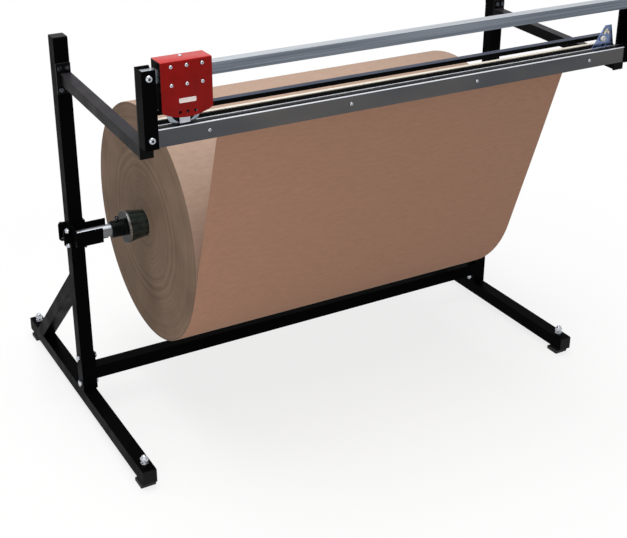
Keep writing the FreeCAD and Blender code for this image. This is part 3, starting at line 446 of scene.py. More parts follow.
# sets which edges look sharp, adds the materials and ties the piece to its body
def finishPiece(name, bm, body, materials, replaced="", sharp=32, faceSlot=None):
    for face in bm.faces:
        face.smooth = True
        if faceSlot:
            face.material_index = faceSlot(face)
    for edge in bm.edges:
        edge.smooth = not edge.is_manifold or edge.calc_face_angle() < math.radians(sharp)
    mesh = bpy.data.meshes.new(name)
    bm.to_mesh(mesh)
    bm.free()
    for material in materials:
        mesh.materials.append(material)
    piece = bpy.data.objects.new(name, mesh)
    bpy.context.scene.collection.objects.link(piece)
    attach(piece, body)
    if replaced:
        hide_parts(*replaced.split())
    return piece


# shares of the key's size, and of the head's height
button = {"rim": 1.45, "socket": 0.65, "arc": 7, "round": 24}


# a domed head with a six-sided key socket darkened as painted shade, seated at z = 0
def buttonHead(size):
    radius, height, key = size["head"], size["height"], size["key"]
    rim = key * button["rim"]
    turns = [math.radians(90 * i / (button["arc"] - 1)) for i in range(button["arc"])]
    dome = [(rim + (radius - rim) * math.sin(a), height * math.cos(a)) for a in turns]
    bm = turned([(rim, height)] + dome[1:], button["round"])
    top = [e for e in bm.edges if all(abs(v.co.z - height) < sameLevel for v in e.verts)]
    ring = bmesh.ops.create_circle(bm, cap_ends=False, radius=key, segments=6,
                                   matrix=Matrix.Translation((0, 0, height)))
    inner = list({e for v in ring["verts"] for e in v.link_edges})
    bmesh.ops.bridge_loops(bm, edges=top + inner)
    sunk = bmesh.ops.extrude_edge_only(bm, edges=inner)["geom"]
    bottom = [item for item in sunk if isinstance(item, bmesh.types.BMVert)]
    bmesh.ops.translate(bm, verts=bottom, vec=(0, 0, -height * button["socket"]))
    bmesh.ops.contextual_create(bm, geom=bottom)
    # the socket's faces take the second material: painted shade in the recess
    for face in {f for v in bottom for f in v.link_faces}:
        face.material_index = 1
    bmesh.ops.recalc_face_normals(bm, faces=bm.faces[:])
    return bm


# shares of the size across the flats, and of the height for a bored nut
hexagon = {"corner": 0.05, "face": 0.9, "dish": 0.36, "sunk": 0.02, "lip": 0.01, "bored": 0.85}


# a pressed hexagon with its corners turned away at one end, and a hole or a dished face
def hexagonHead(flats, height, bore=0.0):
    h = hexagon
    bm = bmesh.new()
    bmesh.ops.create_cone(bm, cap_ends=True, segments=6, radius1=flats / math.sqrt(3),
                          radius2=flats / math.sqrt(3), depth=height,
                          matrix=Matrix.Translation((0, 0, height / 2)))
    top = max(bm.faces, key=lambda face: face.calc_center_median().z)
    bmesh.ops.bevel(bm, geom=list(top.edges), offset=flats * h["corner"], segments=2,
                    profile=0.5, affect="EDGES", material=-1)
    top = max(bm.faces, key=lambda face: face.calc_center_median().z)
    inner = bore if bore else flats * h["dish"]
    depth = height * h["bored"] if bore else flats * h["sunk"]
    bmesh.ops.inset_region(bm, faces=[top], thickness=flats / 2 * h["face"] - inner, depth=0)
    bmesh.ops.inset_region(bm, faces=[top], thickness=flats * h["lip"], depth=-depth)
    return bm


# shares of the rod's radius at a thread's root and at its tip, and of the pitch for the chamfer
thread = {"root": 0.9, "tip": 0.8, "half": 0.5, "round": 20}


# the end of a threaded rod: a row of sharp rings one pitch apart, and a chamfered tip
def threadedEnd(radius, length, pitch):
    t = thread
    count = max(2, int(length / pitch))
    line = [(0, 0)]
    for ring in range(count):
        line += [(radius, ring * pitch), (radius * t["root"], (ring + t["half"]) * pitch)]
    tip = count * pitch + pitch * t["half"]
    line += [(radius, count * pitch), (radius * t["tip"], tip), (0, tip)]
    return turned(line, t["round"])


# a nut at each place, with the end of its bolt standing out of it
def spreadNuts(target, bolt, places, side):
    spread(target, hexagonHead(bolt["flats"], bolt["nut"], bolt["bore"]), places, side)
    rod = threadedEnd(bolt["thread"], bolt["nut"] + bolt["proud"], bolt["pitch"])
    spread(target, rod, places, side)


# a nut with a dome on it, which covers the end of its bolt
dome = {"bore": 0.8, "overlap": 0.95, "arc": 10, "round": 28}


def domedNut(flats, straight, radius):
    bm = hexagonHead(flats, straight, radius * dome["bore"])
    turns = [math.radians(90 * i / (dome["arc"] - 1)) for i in range(dome["arc"])]
    arc = [(radius * math.cos(a), straight * dome["overlap"] + radius * math.sin(a))
           for a in turns]
    spread(bm, turned(arc, dome["round"]), [(0, 0, 0)])
    return bm


# what screws with a thread of ten, eight and five millimetres have in common
ten = {"flats": 0.017, "nut": 0.008, "bore": 0.005, "thread": 0.0049, "pitch": 0.0015}
eight = {"flats": 0.013, "nut": 0.0065, "head": 0.0053, "bore": 0.004, "thread": 0.0039,
         "pitch": 0.00125}
five = {"flats": 0.008, "nut": 0.004, "bore": 0.0025, "thread": 0.0024, "pitch": 0.0008,
        "head": 0.0046, "height": 0.003, "key": 0.0016}

# bolts of the stand
channelBolt = {
    **ten, "across": 0.717, "levels": (1.1845, 1.0405), "seat": -0.5535, "back": -0.5125,
    "head": 0.0088, "height": 0.0062, "key": 0.0036, "proud": 0.001}


def makeChannelBolts():
    bm = bmesh.new()
    b = channelBolt
    seats = [(side * b["across"], b["seat"], level) for side in (-1, 1) for level in b["levels"]]
    spread(bm, buttonHead(b), seats, "front")
    spreadNuts(bm, b, [(x, b["back"], z) for x, _, z in seats], "back")
    finishPiece("channelBolts", bm, "stand", [zinc, blackOxideAndShade], "channel_bolts")


makeChannelBolts()

armBolt = {**eight, "across": (0.712, 0.732), "levels": (0.999, 1.057), "seat": 0.0335,
           "back": 0.0785, "proud": 0.0012}


def makeArmBolts():
    bm = bmesh.new()
    b = armBolt
    front = [(side * x, b["seat"], z)
             for side in (-1, 1) for x in b["across"] for z in b["levels"]]
    spread(bm, hexagonHead(b["flats"], b["head"]), front, "front")
    spreadNuts(bm, b, [(x, b["back"], z) for x, _, z in front], "back")
    finishPiece("armBolts", bm, "stand", [blackOxideAndShade], "arm_bolts")


makeArmBolts()

barBolt = {**ten, "depth": 0.0585, "levels": (0.081, 0.167), "outside": 0.742, "inside": 0.698,
           "head": 0.0064, "proud": 0.0005}


def makeCrossbarBolts():
    bm = bmesh.new()
    b = barBolt
    for sign, outward, inward in ((-1, "left", "right"), (1, "right", "left")):
        outer = [(sign * b["outside"], b["depth"], z) for z in b["levels"]]
        inner = [(sign * b["inside"], b["depth"], z) for z in b["levels"]]
        spread(bm, hexagonHead(b["flats"], b["head"]), outer, outward)
        spreadNuts(bm, b, inner, inward)
    finishPiece("crossbarBolts", bm, "stand", [zinc], "crossbar_bolts")


makeCrossbarBolts()

clampBolt = {**eight, "across": 0.7515, "levels": (0.549, 0.593), "front": 0.0335,
             "back": 0.0835, "dome": 0.0062}


def makeClampBolts():
    bm = bmesh.new()
    b = clampBolt
    front = [(side * b["across"], b["front"], z) for side in (-1, 1) for z in b["levels"]]
    rear = [(x, b["back"], z) for x, _, z in front]
    spread(bm, domedNut(b["flats"], b["nut"], b["dome"]), front, "front")
    spread(bm, hexagonHead(b["flats"], b["head"]), rear, "back")
    finishPiece("clampBolts", bm, "stand", [zinc], "clamp_bolts")


makeClampBolts()

bedScrew = {**five, "places": (-0.573, -0.191, 0.191, 0.573), "level": 1.0405,
            "seat": -0.55025}


def makeBedScrews():
    bm = bmesh.new()
    b = bedScrew
    places = [(x, b["seat"], b["level"]) for x in b["places"]]
    spread(bm, buttonHead(b), places, "front")
    finishPiece("bedScrews", bm, "stand", [zinc, blackOxideAndShade], "bed_screws")


makeBedScrews()


# levelling feet: a hexagon under the tube, a jam nut on it and a domed nut on top
foot = {
    "across": 0.722, "ends": {"front": -0.3825, "rear": 0.5265}, "padTop": 0.012,
    "tubeTop": 0.060, "acorn": 0.072, "flats": 0.019, "stud": 0.006, "pitch": 0.00175,
    "hidden": 0.002, "lowerNut": 0.008, "acornHeight": 0.018, "dome": 0.0091, "waist": 0.98,
    "jamNut": 0.006, "jamBore": 0.0062}


def makeFeet():
    f = foot
    jam = bmesh.new()
    for end, depth in f["ends"].items():
        for side, sign in (("left", -1), ("right", 1)):
            x, y = sign * f["across"], depth
            bm = bmesh.new()
            rod = threadedEnd(f["stud"], f["acorn"] - f["tubeTop"] + 2 * f["hidden"], f["pitch"])
            spread(bm, rod, [(x, y, f["tubeTop"] - f["hidden"])])
            spread(bm, hexagonHead(f["flats"], f["lowerNut"]), [(x, y, f["padTop"])])
            acorn = domedNut(f["flats"], f["acornHeight"] - f["dome"], f["dome"] * f["waist"])
            spread(bm, acorn, [(x, y, f["acorn"])])
            finishPiece(f"footStud_{end}_{side}", bm, "stand", [zinc],
                        f"foot_stud_{end}_{side}")
            nut = hexagonHead(f["flats"], f["jamNut"], f["jamBore"])
            spread(jam, nut, [(x, y, f["tubeTop"])])
    finishPiece("jamNuts", jam, "stand", [zinc], "jam_nuts")


makeFeet()
print("stage: fasteners made")


# the paper roll: wound layers that stand a little in and out at both ends
roll = {"seed": 7, "rings": 70, "wander": 0.0005, "edge": 0.0012, "turn": 0.4, "steps": 128,
        "endShare": 0.5}


# turns a line of (along, radius) points round the roll's axis
def turnedOnShaft(points, steps, closed=False):
    bm = turned([(radius, along) for along, radius in points], steps, closed)
    place = Matrix.Translation((0, rollCentre.y, rollCentre.z)) @ facing["right"]
    bmesh.ops.transform(bm, matrix=place, verts=bm.verts[:])
    return bm


def makeRoll():
    random.seed(roll["seed"])
    coreLow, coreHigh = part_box("roll_core")
    bore = (coreHigh.z - coreLow.z) / 2
    outer = rollRadius
    reach = rollHigh.x
    edge, turn = roll["edge"], roll["edge"] * roll["turn"]

    def end(sign):
        line = []
        for ring in range(roll["rings"] + 1):
            radius = bore + (outer - edge - bore) * ring / roll["rings"]
            line.append((sign * (reach - random.random() * roll["wander"]), radius))
        return line

    line = end(-1) + [(-reach + turn, outer - turn), (-reach + edge, outer), (0, outer),
                      (reach - edge, outer), (reach - turn, outer - turn)] + end(1)[::-1]
    bm = turnedOnShaft(line, roll["steps"], closed=True)
    finishPiece("paperRoll", bm, "spindle", [rollKraftSheen, kraftEdge], "paper_roll",
                sharp=50, faceSlot=lambda face: int(abs(face.normal.x) > roll["endShare"]))


makeRoll()


# the web: paper that leaves the roll and rises to the slot behind the bed
web = {"thick": 0.0004, "lift": 0.0005, "inset": 0.0004, "across": 48, "wave": 0.0022,
       "even": 0.6, "ripple": 0.4, "seed": 11, "wrap": math.radians(34), "wrapSteps": 10,
       "runSteps": 26}


def makeWeb():
    low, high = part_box("paper_web")
    radius = rollRadius + web["lift"]
    top = Vector((0, low.y + web["inset"], high.z))
    run = Vector((0, top.y - rollCentre.y, top.z - rollCentre.z))
    reach = run.length
    lean = math.atan2(run.z, run.y) + math.acos(radius / reach)
    away = Vector((0, math.cos(lean), math.sin(lean)))
    touch = Vector((0, rollCentre.y, rollCentre.z)) + away * radius
    line = [top.lerp(touch, i / web["runSteps"]) for i in range(web["runSteps"])]
    for i in range(web["wrapSteps"] + 1):
        turn = lean + web["wrap"] * i / web["wrapSteps"]
        line.append(rollCentre + Vector((0, radius * math.cos(turn), radius * math.sin(turn))))
    bm = bmesh.new()
    corners = [bm.verts.new((low.x, point.y, point.z)) for point in line]
    for pair in zip(corners, corners[1:]):
        bm.edges.new(pair)
    outline = bm.edges[:]
    wide = high.x - low.x
    step = Vector((wide / web["across"], 0, 0))
    for _ in range(web["across"]):
        grown = bmesh.ops.extrude_edge_only(bm, edges=outline)["geom"]
        outline = [item for item in grown if isinstance(item, bmesh.types.BMEdge)
                   and all(v in grown for v in item.verts)]
        moved = [item for item in grown if isinstance(item, bmesh.types.BMVert)]
        bmesh.ops.translate(bm, verts=moved, vec=step)
    along = (top - touch).normalized()
    span = (top - touch).length
    random.seed(web["seed"])
    phases = [random.random() * math.tau for _ in range(3)]
    for vertex in bm.verts:
        share = (vertex.co - touch).dot(along) / span
        if 0 < share < 1:
            swell = math.sin(share * math.pi) ** 2
            across = vertex.co.x / wide * math.tau
            ripple = sum(math.sin(across * n + phases[n - 1] + share * 2) / n for n in (1, 2, 3))
            height = web["wave"] * (web["even"] + web["ripple"] * ripple)
            vertex.co += away * (swell * height)
    bmesh.ops.recalc_face_normals(bm, faces=bm.faces[:])
    bmesh.ops.solidify(bm, geom=bm.faces[:], thickness=web["thick"])
    finishPiece("paperWeb", bm, "stand", [kraft], "paper_web", sharp=60)


makeWeb()


core = {"chamfer": 0.0006, "wall": 0.004, "steps": 72}


def makeCore():
    low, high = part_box("roll_core")
    outer = (high.z - low.z) / 2
    inner = outer - core["wall"]
    c = core["chamfer"]
    line = [(low.x, inner + c), (low.x, outer - c), (low.x + c, outer), (high.x - c, outer),
            (high.x, outer - c), (high.x, inner + c), (high.x - c, inner), (low.x + c, inner)]
    bm = turnedOnShaft(line, core["steps"], closed=True)
    finishPiece("rollCore", bm, "spindle", [boardEdge], "roll_core")


makeCore()

chuck = {
    "bore": 0.01805, "hub": 0.024, "hubLength": 0.041, "fillet": 0.002, "flange": 0.048,
    "flangeThick": 0.008, "base": 0.04565, "land": 0.004, "landDrop": 0.0006, "tip": 0.0356,
    "tipRound": 0.0004, "flutes": 14, "fluteDepth": 0.0032, "fluteShape": 0.7,
    "bevel": 0.0012, "steps": 160, "rubbed": 0.0474, "paintEdge": 0.0005}


# pulls the cone in along its flutes, away from the flange and the bore
def cutFlutes(bm, coneFrom):
    c = chuck
    for vertex in bm.verts:
        off = Vector((0, vertex.co.y - rollCentre.y, vertex.co.z - rollCentre.z))
        if abs(vertex.co.x) < coneFrom - c["fillet"] and off.length > c["bore"] + c["land"]:
            turn = math.cos(math.atan2(off.z, off.y) * c["flutes"])
            depth = c["fluteDepth"] * max(0.0, turn) ** c["fluteShape"]
            vertex.co -= off.normalized() * depth


def makeChucks():
    c = chuck
    b = c["bevel"]
    for side, sign in (("left", -1), ("right", 1)):
        low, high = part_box(f"chuck_{side}")
        start, end = (low.x, high.x) if sign < 0 else (-high.x, -low.x)
        flangeAt = start + c["hubLength"]
        coneAt = flangeAt + c["flangeThick"]
        line = [(start, c["bore"]), (start, c["hub"] - b), (start + b, c["hub"]),
                (flangeAt - c["fillet"], c["hub"]), (flangeAt, c["hub"] + c["fillet"]),
                (flangeAt, c["flange"] - b), (flangeAt + b, c["flange"]),
                (coneAt - b, c["flange"]), (coneAt, c["flange"] - b),
                (coneAt, c["base"]), (coneAt + c["land"], c["base"] - c["landDrop"]),
                (end - 2 * b, c["tip"] + c["tipRound"]), (end, c["tip"] - b), (end, c["bore"])]
        bm = turnedOnShaft([(-sign * along, radius) for along, radius in line], c["steps"],
                           closed=True)
        cutFlutes(bm, -coneAt)

        # the flange's outer rim, beyond "rubbed", takes bright zinc as a painted highlight; the
        # hub takes black paint
        def hubPaintAndRimHighlight(face):
            middle = face.calc_center_median()
            radius = math.hypot(middle.y - rollCentre.y, middle.z - rollCentre.z)
            if radius > c["rubbed"] and abs(middle.x) > -coneAt:
                return 2
            return int(abs(middle.x) > -flangeAt - c["paintEdge"])

        finishPiece(f"chuck_{side}_cast", bm, "spindle", [casting, hubPaintAndKnifeShade, zinc],
                    f"chuck_{side}", sharp=28, faceSlot=hubPaintAndRimHighlight)


makeChucks()

shaft = {"chamfer": 0.0015, "steps": 64}


def makeShaft():
    low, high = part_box("shaft")
    radius = (high.z - low.z) / 2
    c = shaft["chamfer"]
    line = [(low.x, 0), (low.x, radius - c), (low.x + c, radius), (high.x - c, radius),
            (high.x, radius - c), (high.x, 0)]
    bm = turnedOnShaft(line, shaft["steps"])
    finishPiece("rollShaft", bm, "spindle", [steel], "shaft")


makeShaft()

chuckScrew = {
    "across": 0.6125, "seat": 0.602, "shank": 0.0065, "hidden": 0.0005, "thread": 0.004,
    "pitch": 0.00125, "head": 0.0065, "height": 0.0053, "edge": 0.0006, "socket": 0.0028,
    "draft": 0.0002, "socketDepth": 0.0025, "steps": 28}


def makeChuckScrews():
    bm = bmesh.new()
    s = chuckScrew
    at = [(sign * s["across"], rollCentre.y, s["seat"]) for sign in (-1, 1)]
    spread(bm, threadedEnd(s["thread"], s["shank"] - s["hidden"], s["pitch"]), at)
    bottom = s["height"] - s["socketDepth"]
    knob = turned([(0, 0), (s["head"] - s["edge"], 0), (s["head"], s["edge"]),
                   (s["head"], s["height"] - s["edge"]), (s["head"] - s["edge"], s["height"]),
                   (s["socket"], s["height"]), (s["socket"] - s["draft"], bottom), (0, bottom)],
                  s["steps"])
    spread(bm, knob, [(x, y, z + s["shank"]) for x, y, z in at])
    finishPiece("chuckScrews", bm, "spindle", [blackOxideAndShade], "chuck_screws")


makeChuckScrews()
print("stage: roll made")


# a sheet with an arc below, three holes above the arc, and a lid bent back along the top
cover = {"sheet": 0.002, "bend": 0.0035, "corner": 0.009, "arc": 0.130, "holeRadius": 0.004,
         "holeSpacing": 0.019, "holeLevel": 1.098, "rim": 0.0004, "cornerSteps": 5,
         "arcSteps": 18, "bendSteps": 6, "holeSteps": 24, "frontShare": 0.9, "rimAngle": 60}


# draws an arc from a point in the sheet's plane and gives its last point
def sweep(bm, vertex, centre, angle, steps):
    made = bmesh.ops.spin(bm, geom=[vertex], cent=centre, axis=-axisY, angle=angle, steps=steps)
    return [item for item in made["geom_last"] if isinstance(item, bmesh.types.BMVert)][0]


def makeCover():
    low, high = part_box("carriage_cover")
    c = cover
    middle = (low.x + high.x) / 2
    arcZ = low.z + c["arc"]
    foldZ = high.z - c["bend"]
    half = middle - low.x - c["corner"]
    cornerZ = arcZ - math.sqrt((c["arc"] - c["corner"]) ** 2 - half ** 2)
    lean = math.atan2(arcZ - cornerZ, half)
    bm = bmesh.new()
    topLeft = bm.verts.new((low.x, low.y, foldZ))
    side = bm.verts.new((low.x, low.y, cornerZ))
    bm.edges.new((topLeft, side))
    end = sweep(bm, side, (low.x + c["corner"], low.y, cornerZ), lean, c["cornerSteps"])
    end = sweep(bm, end, (middle, low.y, arcZ), math.pi - 2 * lean, c["arcSteps"])
    end = sweep(bm, end, (high.x - c["corner"], low.y, cornerZ), lean, c["cornerSteps"])
    topRight = bm.verts.new((high.x, low.y, foldZ))
    bm.edges.new((end, topRight))
    fold = bm.edges.new((topRight, topLeft))
    for step in (-1, 0, 1):
        place = Matrix.Translation((middle + step * c["holeSpacing"], low.y, c["holeLevel"]))
        bmesh.ops.create_circle(bm, cap_ends=False, radius=c["holeRadius"],
                                segments=c["holeSteps"], matrix=place @ facing["front"])
    bmesh.ops.triangle_fill(bm, edges=bm.edges[:], use_beauty=True, use_dissolve=False,
                            normal=-axisY)
    fold = [e for e in bm.edges if all(abs(v.co.z - foldZ) < sameLevel for v in e.verts)]
    bent = bmesh.ops.spin(bm, geom=fold + list({v for e in fold for v in e.verts}),
                          cent=(middle, low.y + c["bend"], foldZ), axis=-axisX,
                          angle=math.radians(90), steps=c["bendSteps"])
    last = [item for item in bent["geom_last"] if isinstance(item, bmesh.types.BMEdge)]
    lid = bmesh.ops.extrude_edge_only(bm, edges=last)["geom"]
    moved = [item for item in lid if isinstance(item, bmesh.types.BMVert)]
    bmesh.ops.translate(bm, verts=moved, vec=(0, high.y - low.y - c["bend"], 0))
    bmesh.ops.remove_doubles(bm, verts=bm.verts[:], dist=joinWithin)
    bmesh.ops.recalc_face_normals(bm, faces=bm.faces[:])
    front = [f for f in bm.faces if abs(f.normal.y) > c["frontShare"]]
    if front[0].normal.y > 0:
        bmesh.ops.reverse_faces(bm, faces=bm.faces[:])
    bmesh.ops.solidify(bm, geom=bm.faces[:], thickness=c["sheet"])
    bmesh.ops.recalc_face_normals(bm, faces=bm.faces[:])
    sharp = math.radians(c["rimAngle"])
    rims = [e for e in bm.edges if e.is_manifold and e.calc_face_angle() > sharp]
    bmesh.ops.bevel(bm, geom=rims, offset=c["rim"], segments=2, profile=0.5, affect="EDGES",
                    material=-1, clamp_overlap=True)
    finishPiece("carriageCover", bm, "carriage", [red], "carriage_cover")


makeCover()

badge = {"corner": 0.003, "rim": 0.0011, "sunk": 0.0004, "draft": 0.0003, "edge": 0.0002}


def makeBadge():
    low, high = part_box("badge_plate")
    middle = (low + high) / 2
    size = high - low
    bm = bmesh.new()
    bmesh.ops.create_cube(bm, size=1,
                          matrix=Matrix.Translation(middle) @ Matrix.Diagonal((*size, 1)))
    across = [e for e in bm.edges if abs((e.verts[0].co - e.verts[1].co).y) > joinWithin]
    bmesh.ops.bevel(bm, geom=across, offset=badge["corner"], segments=8, profile=0.5,
                    affect="EDGES", material=-1)
    face = min(bm.faces, key=lambda f: f.calc_center_median().y)
    bmesh.ops.bevel(bm, geom=list(face.edges), offset=badge["edge"], segments=2, profile=0.5,
                    affect="EDGES", material=-1)
    face = min(bm.faces, key=lambda f: (f.calc_center_median().y, -f.calc_area()))
    bmesh.ops.inset_region(bm, faces=[face], thickness=badge["rim"], depth=0)
    bmesh.ops.inset_region(bm, faces=[face], thickness=badge["draft"], depth=-badge["sunk"])
    finishPiece("badgeBlank", bm, "carriage", [plate], "badge_plate")


makeBadge()

carriageScrew = {
    **five, "columns": (-0.6675, -0.6295, -0.5915), "levels": (1.2058, 1.1632),
    "front": -0.5615, "back": -0.5095, "proud": -0.0005, "pin": 0.0025, "pinSteps": 20,
    "topY": -0.5268, "spacer": 0.004, "spacerBore": 0.0026, "spacerSteps": 24,
    "inside": -0.5595, "wall": -0.5135, "middle": -0.5355, "half": 0.0026}


# six screws carry the guide rollers between two spacers each, and one holds the lid
def makeCarriageScrews():
    bm = bmesh.new()
    s = carriageScrew
    places = [(x, s["front"], z) for x in s["columns"] for z in s["levels"]]
    head = buttonHead(s)
    spread(bm, head, places, "front")
    spreadNuts(bm, s, [(x, s["back"], z) for x, _, z in places], "back")
    near = s["middle"] - s["half"] - s["inside"]
    far = s["wall"] - s["middle"] - s["half"]
    for start, length in ((s["inside"], near), (s["middle"] + s["half"], far)):
        spacer = sleeve(s["spacerBore"], s["spacer"], length, s["spacerSteps"])
        spread(bm, spacer, [(x, start, z) for x, _, z in places], "back")
    spread(bm, sleeve(0, s["pin"], s["back"] - s["front"], s["pinSteps"]), places, "back")
    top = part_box("carriage_cover")[1].z
    spread(bm, head, [(s["columns"][1], s["topY"], top)])
    finishPiece("carriageScrews", bm, "carriage", [zinc, blackOxideAndShade],
                "carriage_screws")


makeCarriageScrews()

roller = {"outer": 0.007, "bore": 0.00255, "half": 0.0025, "shield": 0.0004, "edge": 0.0004,
          "innerRace": 0.0042, "shieldFrom": 0.0044, "shieldTo": 0.0058, "outerRace": 0.0060,
          "steps": 36}


def makeGuideRollers():
    r = roller
    side, sunk = -r["half"], -r["half"] + r["shield"]
    line = [(r["bore"], side), (r["innerRace"], side), (r["shieldFrom"], sunk),
            (r["shieldTo"], sunk), (r["outerRace"], side), (r["outer"] - r["edge"], side),
            (r["outer"], side + r["edge"])]
    for row in ("upper", "lower"):
        for place in ("left", "middle", "right"):
            node = f"guide_roller_{row}_{place}"
            low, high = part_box(node)
            bm = evenRing(line, r["steps"], (low + high) / 2)
            finishPiece(f"bearing_{row}_{place}", bm, node, [steel], node)


makeGuideRollers()

# black inside the "dark" radius as painted shade where the cover's holes show it, bare outside it,
# and ground from "bevelFrom" outward
knife = {"radius": 0.044, "bevelFrom": 0.0385, "half": 0.00075, "tip": 0.0001, "hub": 0.013,
         "hubHalf": 0.004, "hubEdge": 0.0006, "bore": 0.00505, "dark": 0.0335, "steps": 96}


def makeKnife():
    k = knife
    line = [(k["bore"], -k["hubHalf"]), (k["hub"] - k["hubEdge"], -k["hubHalf"]),
            (k["hub"], -k["hubHalf"] + k["hubEdge"]), (k["hub"], -k["half"]),
            (k["dark"], -k["half"]), (k["bevelFrom"], -k["half"]), (k["radius"], -k["tip"])]
    low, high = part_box("knife_wheel")
    middle = (low + high) / 2

    def finish(face):
        off = face.calc_center_median() - middle
        return int(math.hypot(off.x, off.z) < k["dark"])

    finishPiece("wheelKnife", evenRing(line, k["steps"], middle), "knife_wheel",
                [knifeSteel, hubPaintAndKnifeShade], "knife_wheel", sharp=20, faceSlot=finish)


makeKnife()

axle = {
    "level": 1.098, "across": -0.6295, "front": -0.5496, "guard": -0.5416, "hubBack": -0.5314,
    "wall": -0.5135, "back": -0.5095, "radius": 0.005, "edge": 0.0006, "collar": 0.008,
    "end": 0.008, "flats": 0.017, "nut": 0.0078, "bore": 0.0052, "steps": 32}


# the knife's axle: a nut before the guard, a collar behind the hub, a nut behind the wall
def makeAxle():
    a = axle
    bm = bmesh.new()
    tip = a["radius"] - a["edge"]
    collar, wall = a["hubBack"] - a["front"], a["wall"] - a["front"]
    end = a["back"] + a["end"] - a["front"]
    pin = turned([(0, 0), (tip, 0), (a["radius"], a["edge"]), (a["radius"], collar),
                  (a["collar"], collar), (a["collar"], wall), (a["radius"], wall),
                  (a["radius"], end - a["edge"]), (tip, end), (0, end)], a["steps"])
    spread(bm, pin, [(a["across"], a["front"], a["level"])], "back")
    for place, side in ((a["guard"], "front"), (a["back"], "back")):
        nut = hexagonHead(a["flats"], a["nut"], a["bore"])
        spread(bm, nut, [(a["across"], place, a["level"])], side)
    # the nut and pin in front of the guard, seen through the cover's middle hole, are blackened:
    # painted shade inside the cover
    finishPiece("knifeAxle", bm, "carriage", [zinc, blackOxideAndShade], "knife_axle",
                faceSlot=lambda face: int(face.calc_center_median().y < a["guard"]))


makeAxle()
print("stage: carriage made")


# the end bracket's screws, pins and roller
bracket = {
    **five, "back": -0.51875, "front": -0.52075, "screws": ((0.621, 1.052), (0.671, 1.052)),
    "pins": ((0.642, 1.086, 0.0076), (0.653, 1.110, 0.0026)), "pin": 0.0025,
    "hidden": 0.0005, "pinHead": 0.002, "rim": 0.0012, "edge": 0.0004, "rivet": 0.001,
    "seatShare": 0.9, "capShare": 0.6, "rivetShare": 0.8, "headSteps": 28, "pinSteps": 20}


# each pin is given by its place across, its level and how far its head stands off the plate
def makeBracketFasteners():
    b = bracket
    head = b["head"]
    bm = bmesh.new()
    spread(bm, buttonHead(b), [(x, b["back"], z) for x, z in b["screws"]], "back")
    for x, z, length in b["pins"]:
        cap = turned([(0, 0), (head * b["seatShare"], 0), (head, b["edge"]), (head, b["rim"]),
                      (head * b["capShare"], b["pinHead"]), (0, b["pinHead"])], b["headSteps"])
        spread(bm, cap, [(x, b["front"] - length, z)], "front")
        pin = sleeve(0, b["pin"], length + 2 * b["hidden"], b["pinSteps"])
        spread(bm, pin, [(x, b["front"] + b["hidden"], z)], "front")
        rivet = turned([(0, 0), (head, 0), (head * b["rivetShare"], b["rivet"]),
                        (0, b["rivet"])], b["headSteps"])
        spread(bm, rivet, [(x, b["back"], z)], "back")
    finishPiece("bracketFasteners", bm, "stand", [zinc, blackOxideAndShade],
                "bracket_fasteners")


makeBracketFasteners()

stopRoller = {"bore": 0.00255, "hub": 0.004, "sunk": 0.0005, "rim": 0.0015, "edge": 0.0006,
              "steps": 40}


def makeStopRoller():
    s = stopRoller
    low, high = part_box("stop_roller")
    half = (high.y - low.y) / 2
    radius = (high.z - low.z) / 2
    line = [(s["bore"], -half), (s["hub"], -half), (s["hub"] + s["sunk"], -half + s["sunk"]),
            (radius - s["rim"], -half + s["sunk"]), (radius - s["edge"], -half),
            (radius, -half + s["edge"])]
    bm = evenRing(line, s["steps"], (low + high) / 2)
    finishPiece("stopRoller", bm, "stop_roller", [nylon], "stop_roller")


makeStopRoller()
print("stage: bracket made")


# floor, lamps and camera
studio = {"ambient": 0.44, "floor": "#f2f2f1", "size": 14, "near": 0.5, "far": 2.1, "share": 0.78}
lamps = {
    "topSoftbox": {"place": (-0.4, -0.2, 3.4), "target": (0, 0, 0.4), "size": 2.4, "power": 105.0},
    "frontSoftbox": {"place": (-1.9, -2.3, 0.7), "target": (-0.2, 0, 0.5), "size": 1.0,
                     "power": 12.0}}


# 1 where the camera, a mirror or a glass looks at the room, 0 where the room only lights it
def seenRoom(tree):
    path = addNode(tree, "ShaderNodeLightPath")
    seen = addNode(tree, "ShaderNodeMath", {"operation": "ADD"}, {
        0: path.outputs["Is Camera Ray"], 1: path.outputs["Is Glossy Ray"]})
    return addNode(tree, "ShaderNodeMath", {"operation": "ADD", "use_clamp": True}, {
        0: seen.outputs[0], 1: path.outputs["Is Transmission Ray"]}).outputs[0]


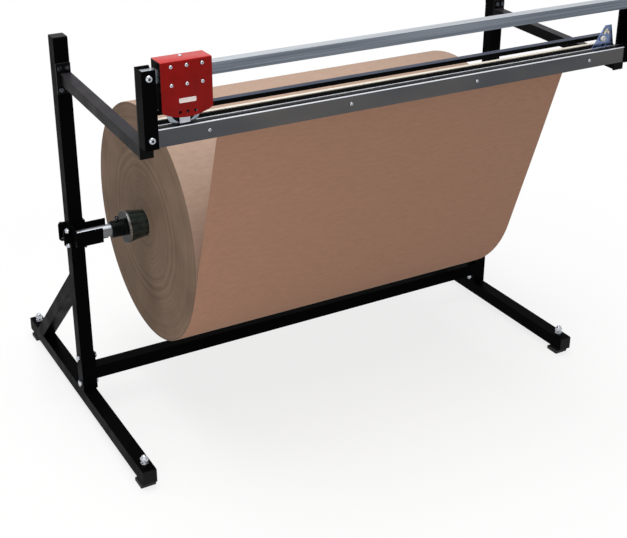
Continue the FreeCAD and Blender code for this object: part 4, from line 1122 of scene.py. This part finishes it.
# a matt floor that keeps the shadow near the stand and fades to the white of the room
def makeFloor():
    bm = bmesh.new()
    bmesh.ops.create_grid(bm, x_segments=1, y_segments=1, size=studio["size"])
    mesh = bpy.data.meshes.new("floor")
    bm.to_mesh(mesh)
    bm.free()
    floor = bpy.data.objects.new("floor", mesh)
    bpy.context.scene.collection.objects.link(floor)
    material = bpy.data.materials.new("matt studio floor")
    material.use_nodes = True
    tree = material.node_tree
    tree.nodes.clear()
    place = addNode(tree, "ShaderNodeTexCoord").outputs["Object"]
    distance = addNode(tree, "ShaderNodeVectorMath", {"operation": "LENGTH"}, {0: place})
    fade = addNode(tree, "ShaderNodeMapRange", {"interpolation_type": "SMOOTHSTEP"}, {
        "Value": distance.outputs["Value"], "From Min": studio["near"],
        "From Max": studio["far"], "To Min": studio["share"]})
    share = addNode(tree, "ShaderNodeMath", {"operation": "MULTIPLY"}, {
        0: fade.outputs["Result"], 1: seenRoom(tree)})
    matt = addNode(tree, "ShaderNodeBsdfDiffuse", inputs={"Color": linearColour(studio["floor"])})
    glow = addNode(tree, "ShaderNodeEmission", inputs={"Color": (1, 1, 1, 1), "Strength": 1.0})
    mixed = addNode(tree, "ShaderNodeMixShader", inputs={
        0: share.outputs[0], 1: matt.outputs[0], 2: glow.outputs[0]})
    addNode(tree, "ShaderNodeOutputMaterial", inputs={"Surface": mixed.outputs[0]})
    mesh.materials.append(material)


def makeRoom():
    world = bpy.data.worlds.new("soft white room")
    bpy.context.scene.world = world
    world.use_nodes = True
    tree = world.node_tree
    tree.nodes.clear()
    level = addNode(tree, "ShaderNodeMapRange", inputs={
        "Value": seenRoom(tree), "To Min": studio["ambient"], "To Max": 1.0})
    sky = addNode(tree, "ShaderNodeBackground", inputs={
        "Color": (1, 1, 1, 1), "Strength": level.outputs["Result"]})
    addNode(tree, "ShaderNodeOutputWorld", inputs={"Surface": sky.outputs[0]})


def addLamp(name, values):
    light = bpy.data.lights.new(name, "AREA")
    light.shape = "SQUARE"
    light.size = values["size"]
    light.energy = values["power"]
    lamp = bpy.data.objects.new(name, light)
    bpy.context.scene.collection.objects.link(lamp)
    lamp.location = values["place"]
    aim = Vector(values["target"]) - Vector(values["place"])
    lamp.rotation_euler = aim.to_track_quat("-Z", "Y").to_euler()


makeFloor()
makeRoom()
for name, values in lamps.items():
    addLamp(name, values)

# the lens and place that set the stand's lines where they are seen from the left front
view = {"place": (-1.63025, -2.855576, 1.943546), "down": 24.0307, "turn": -29.3784,
        "focalPixels": 1165.292, "imageWidth": 627, "sensor": 36, "shiftX": 0.02, "shiftY": -0.08}
cameraData = bpy.data.cameras.new("camera")
cameraData.sensor_width = view["sensor"]
cameraData.lens = view["focalPixels"] / view["imageWidth"] * view["sensor"]
cameraData.shift_x = view["shiftX"]
cameraData.shift_y = view["shiftY"]
camera = bpy.data.objects.new("camera", cameraData)
bpy.context.scene.collection.objects.link(camera)
camera.location = view["place"]
camera.rotation_euler = (math.radians(90 - view["down"]), 0, math.radians(view["turn"]))
bpy.context.scene.camera = camera
bpy.context.scene.view_settings.view_transform = "Standard"
print("stage: studio and camera made")
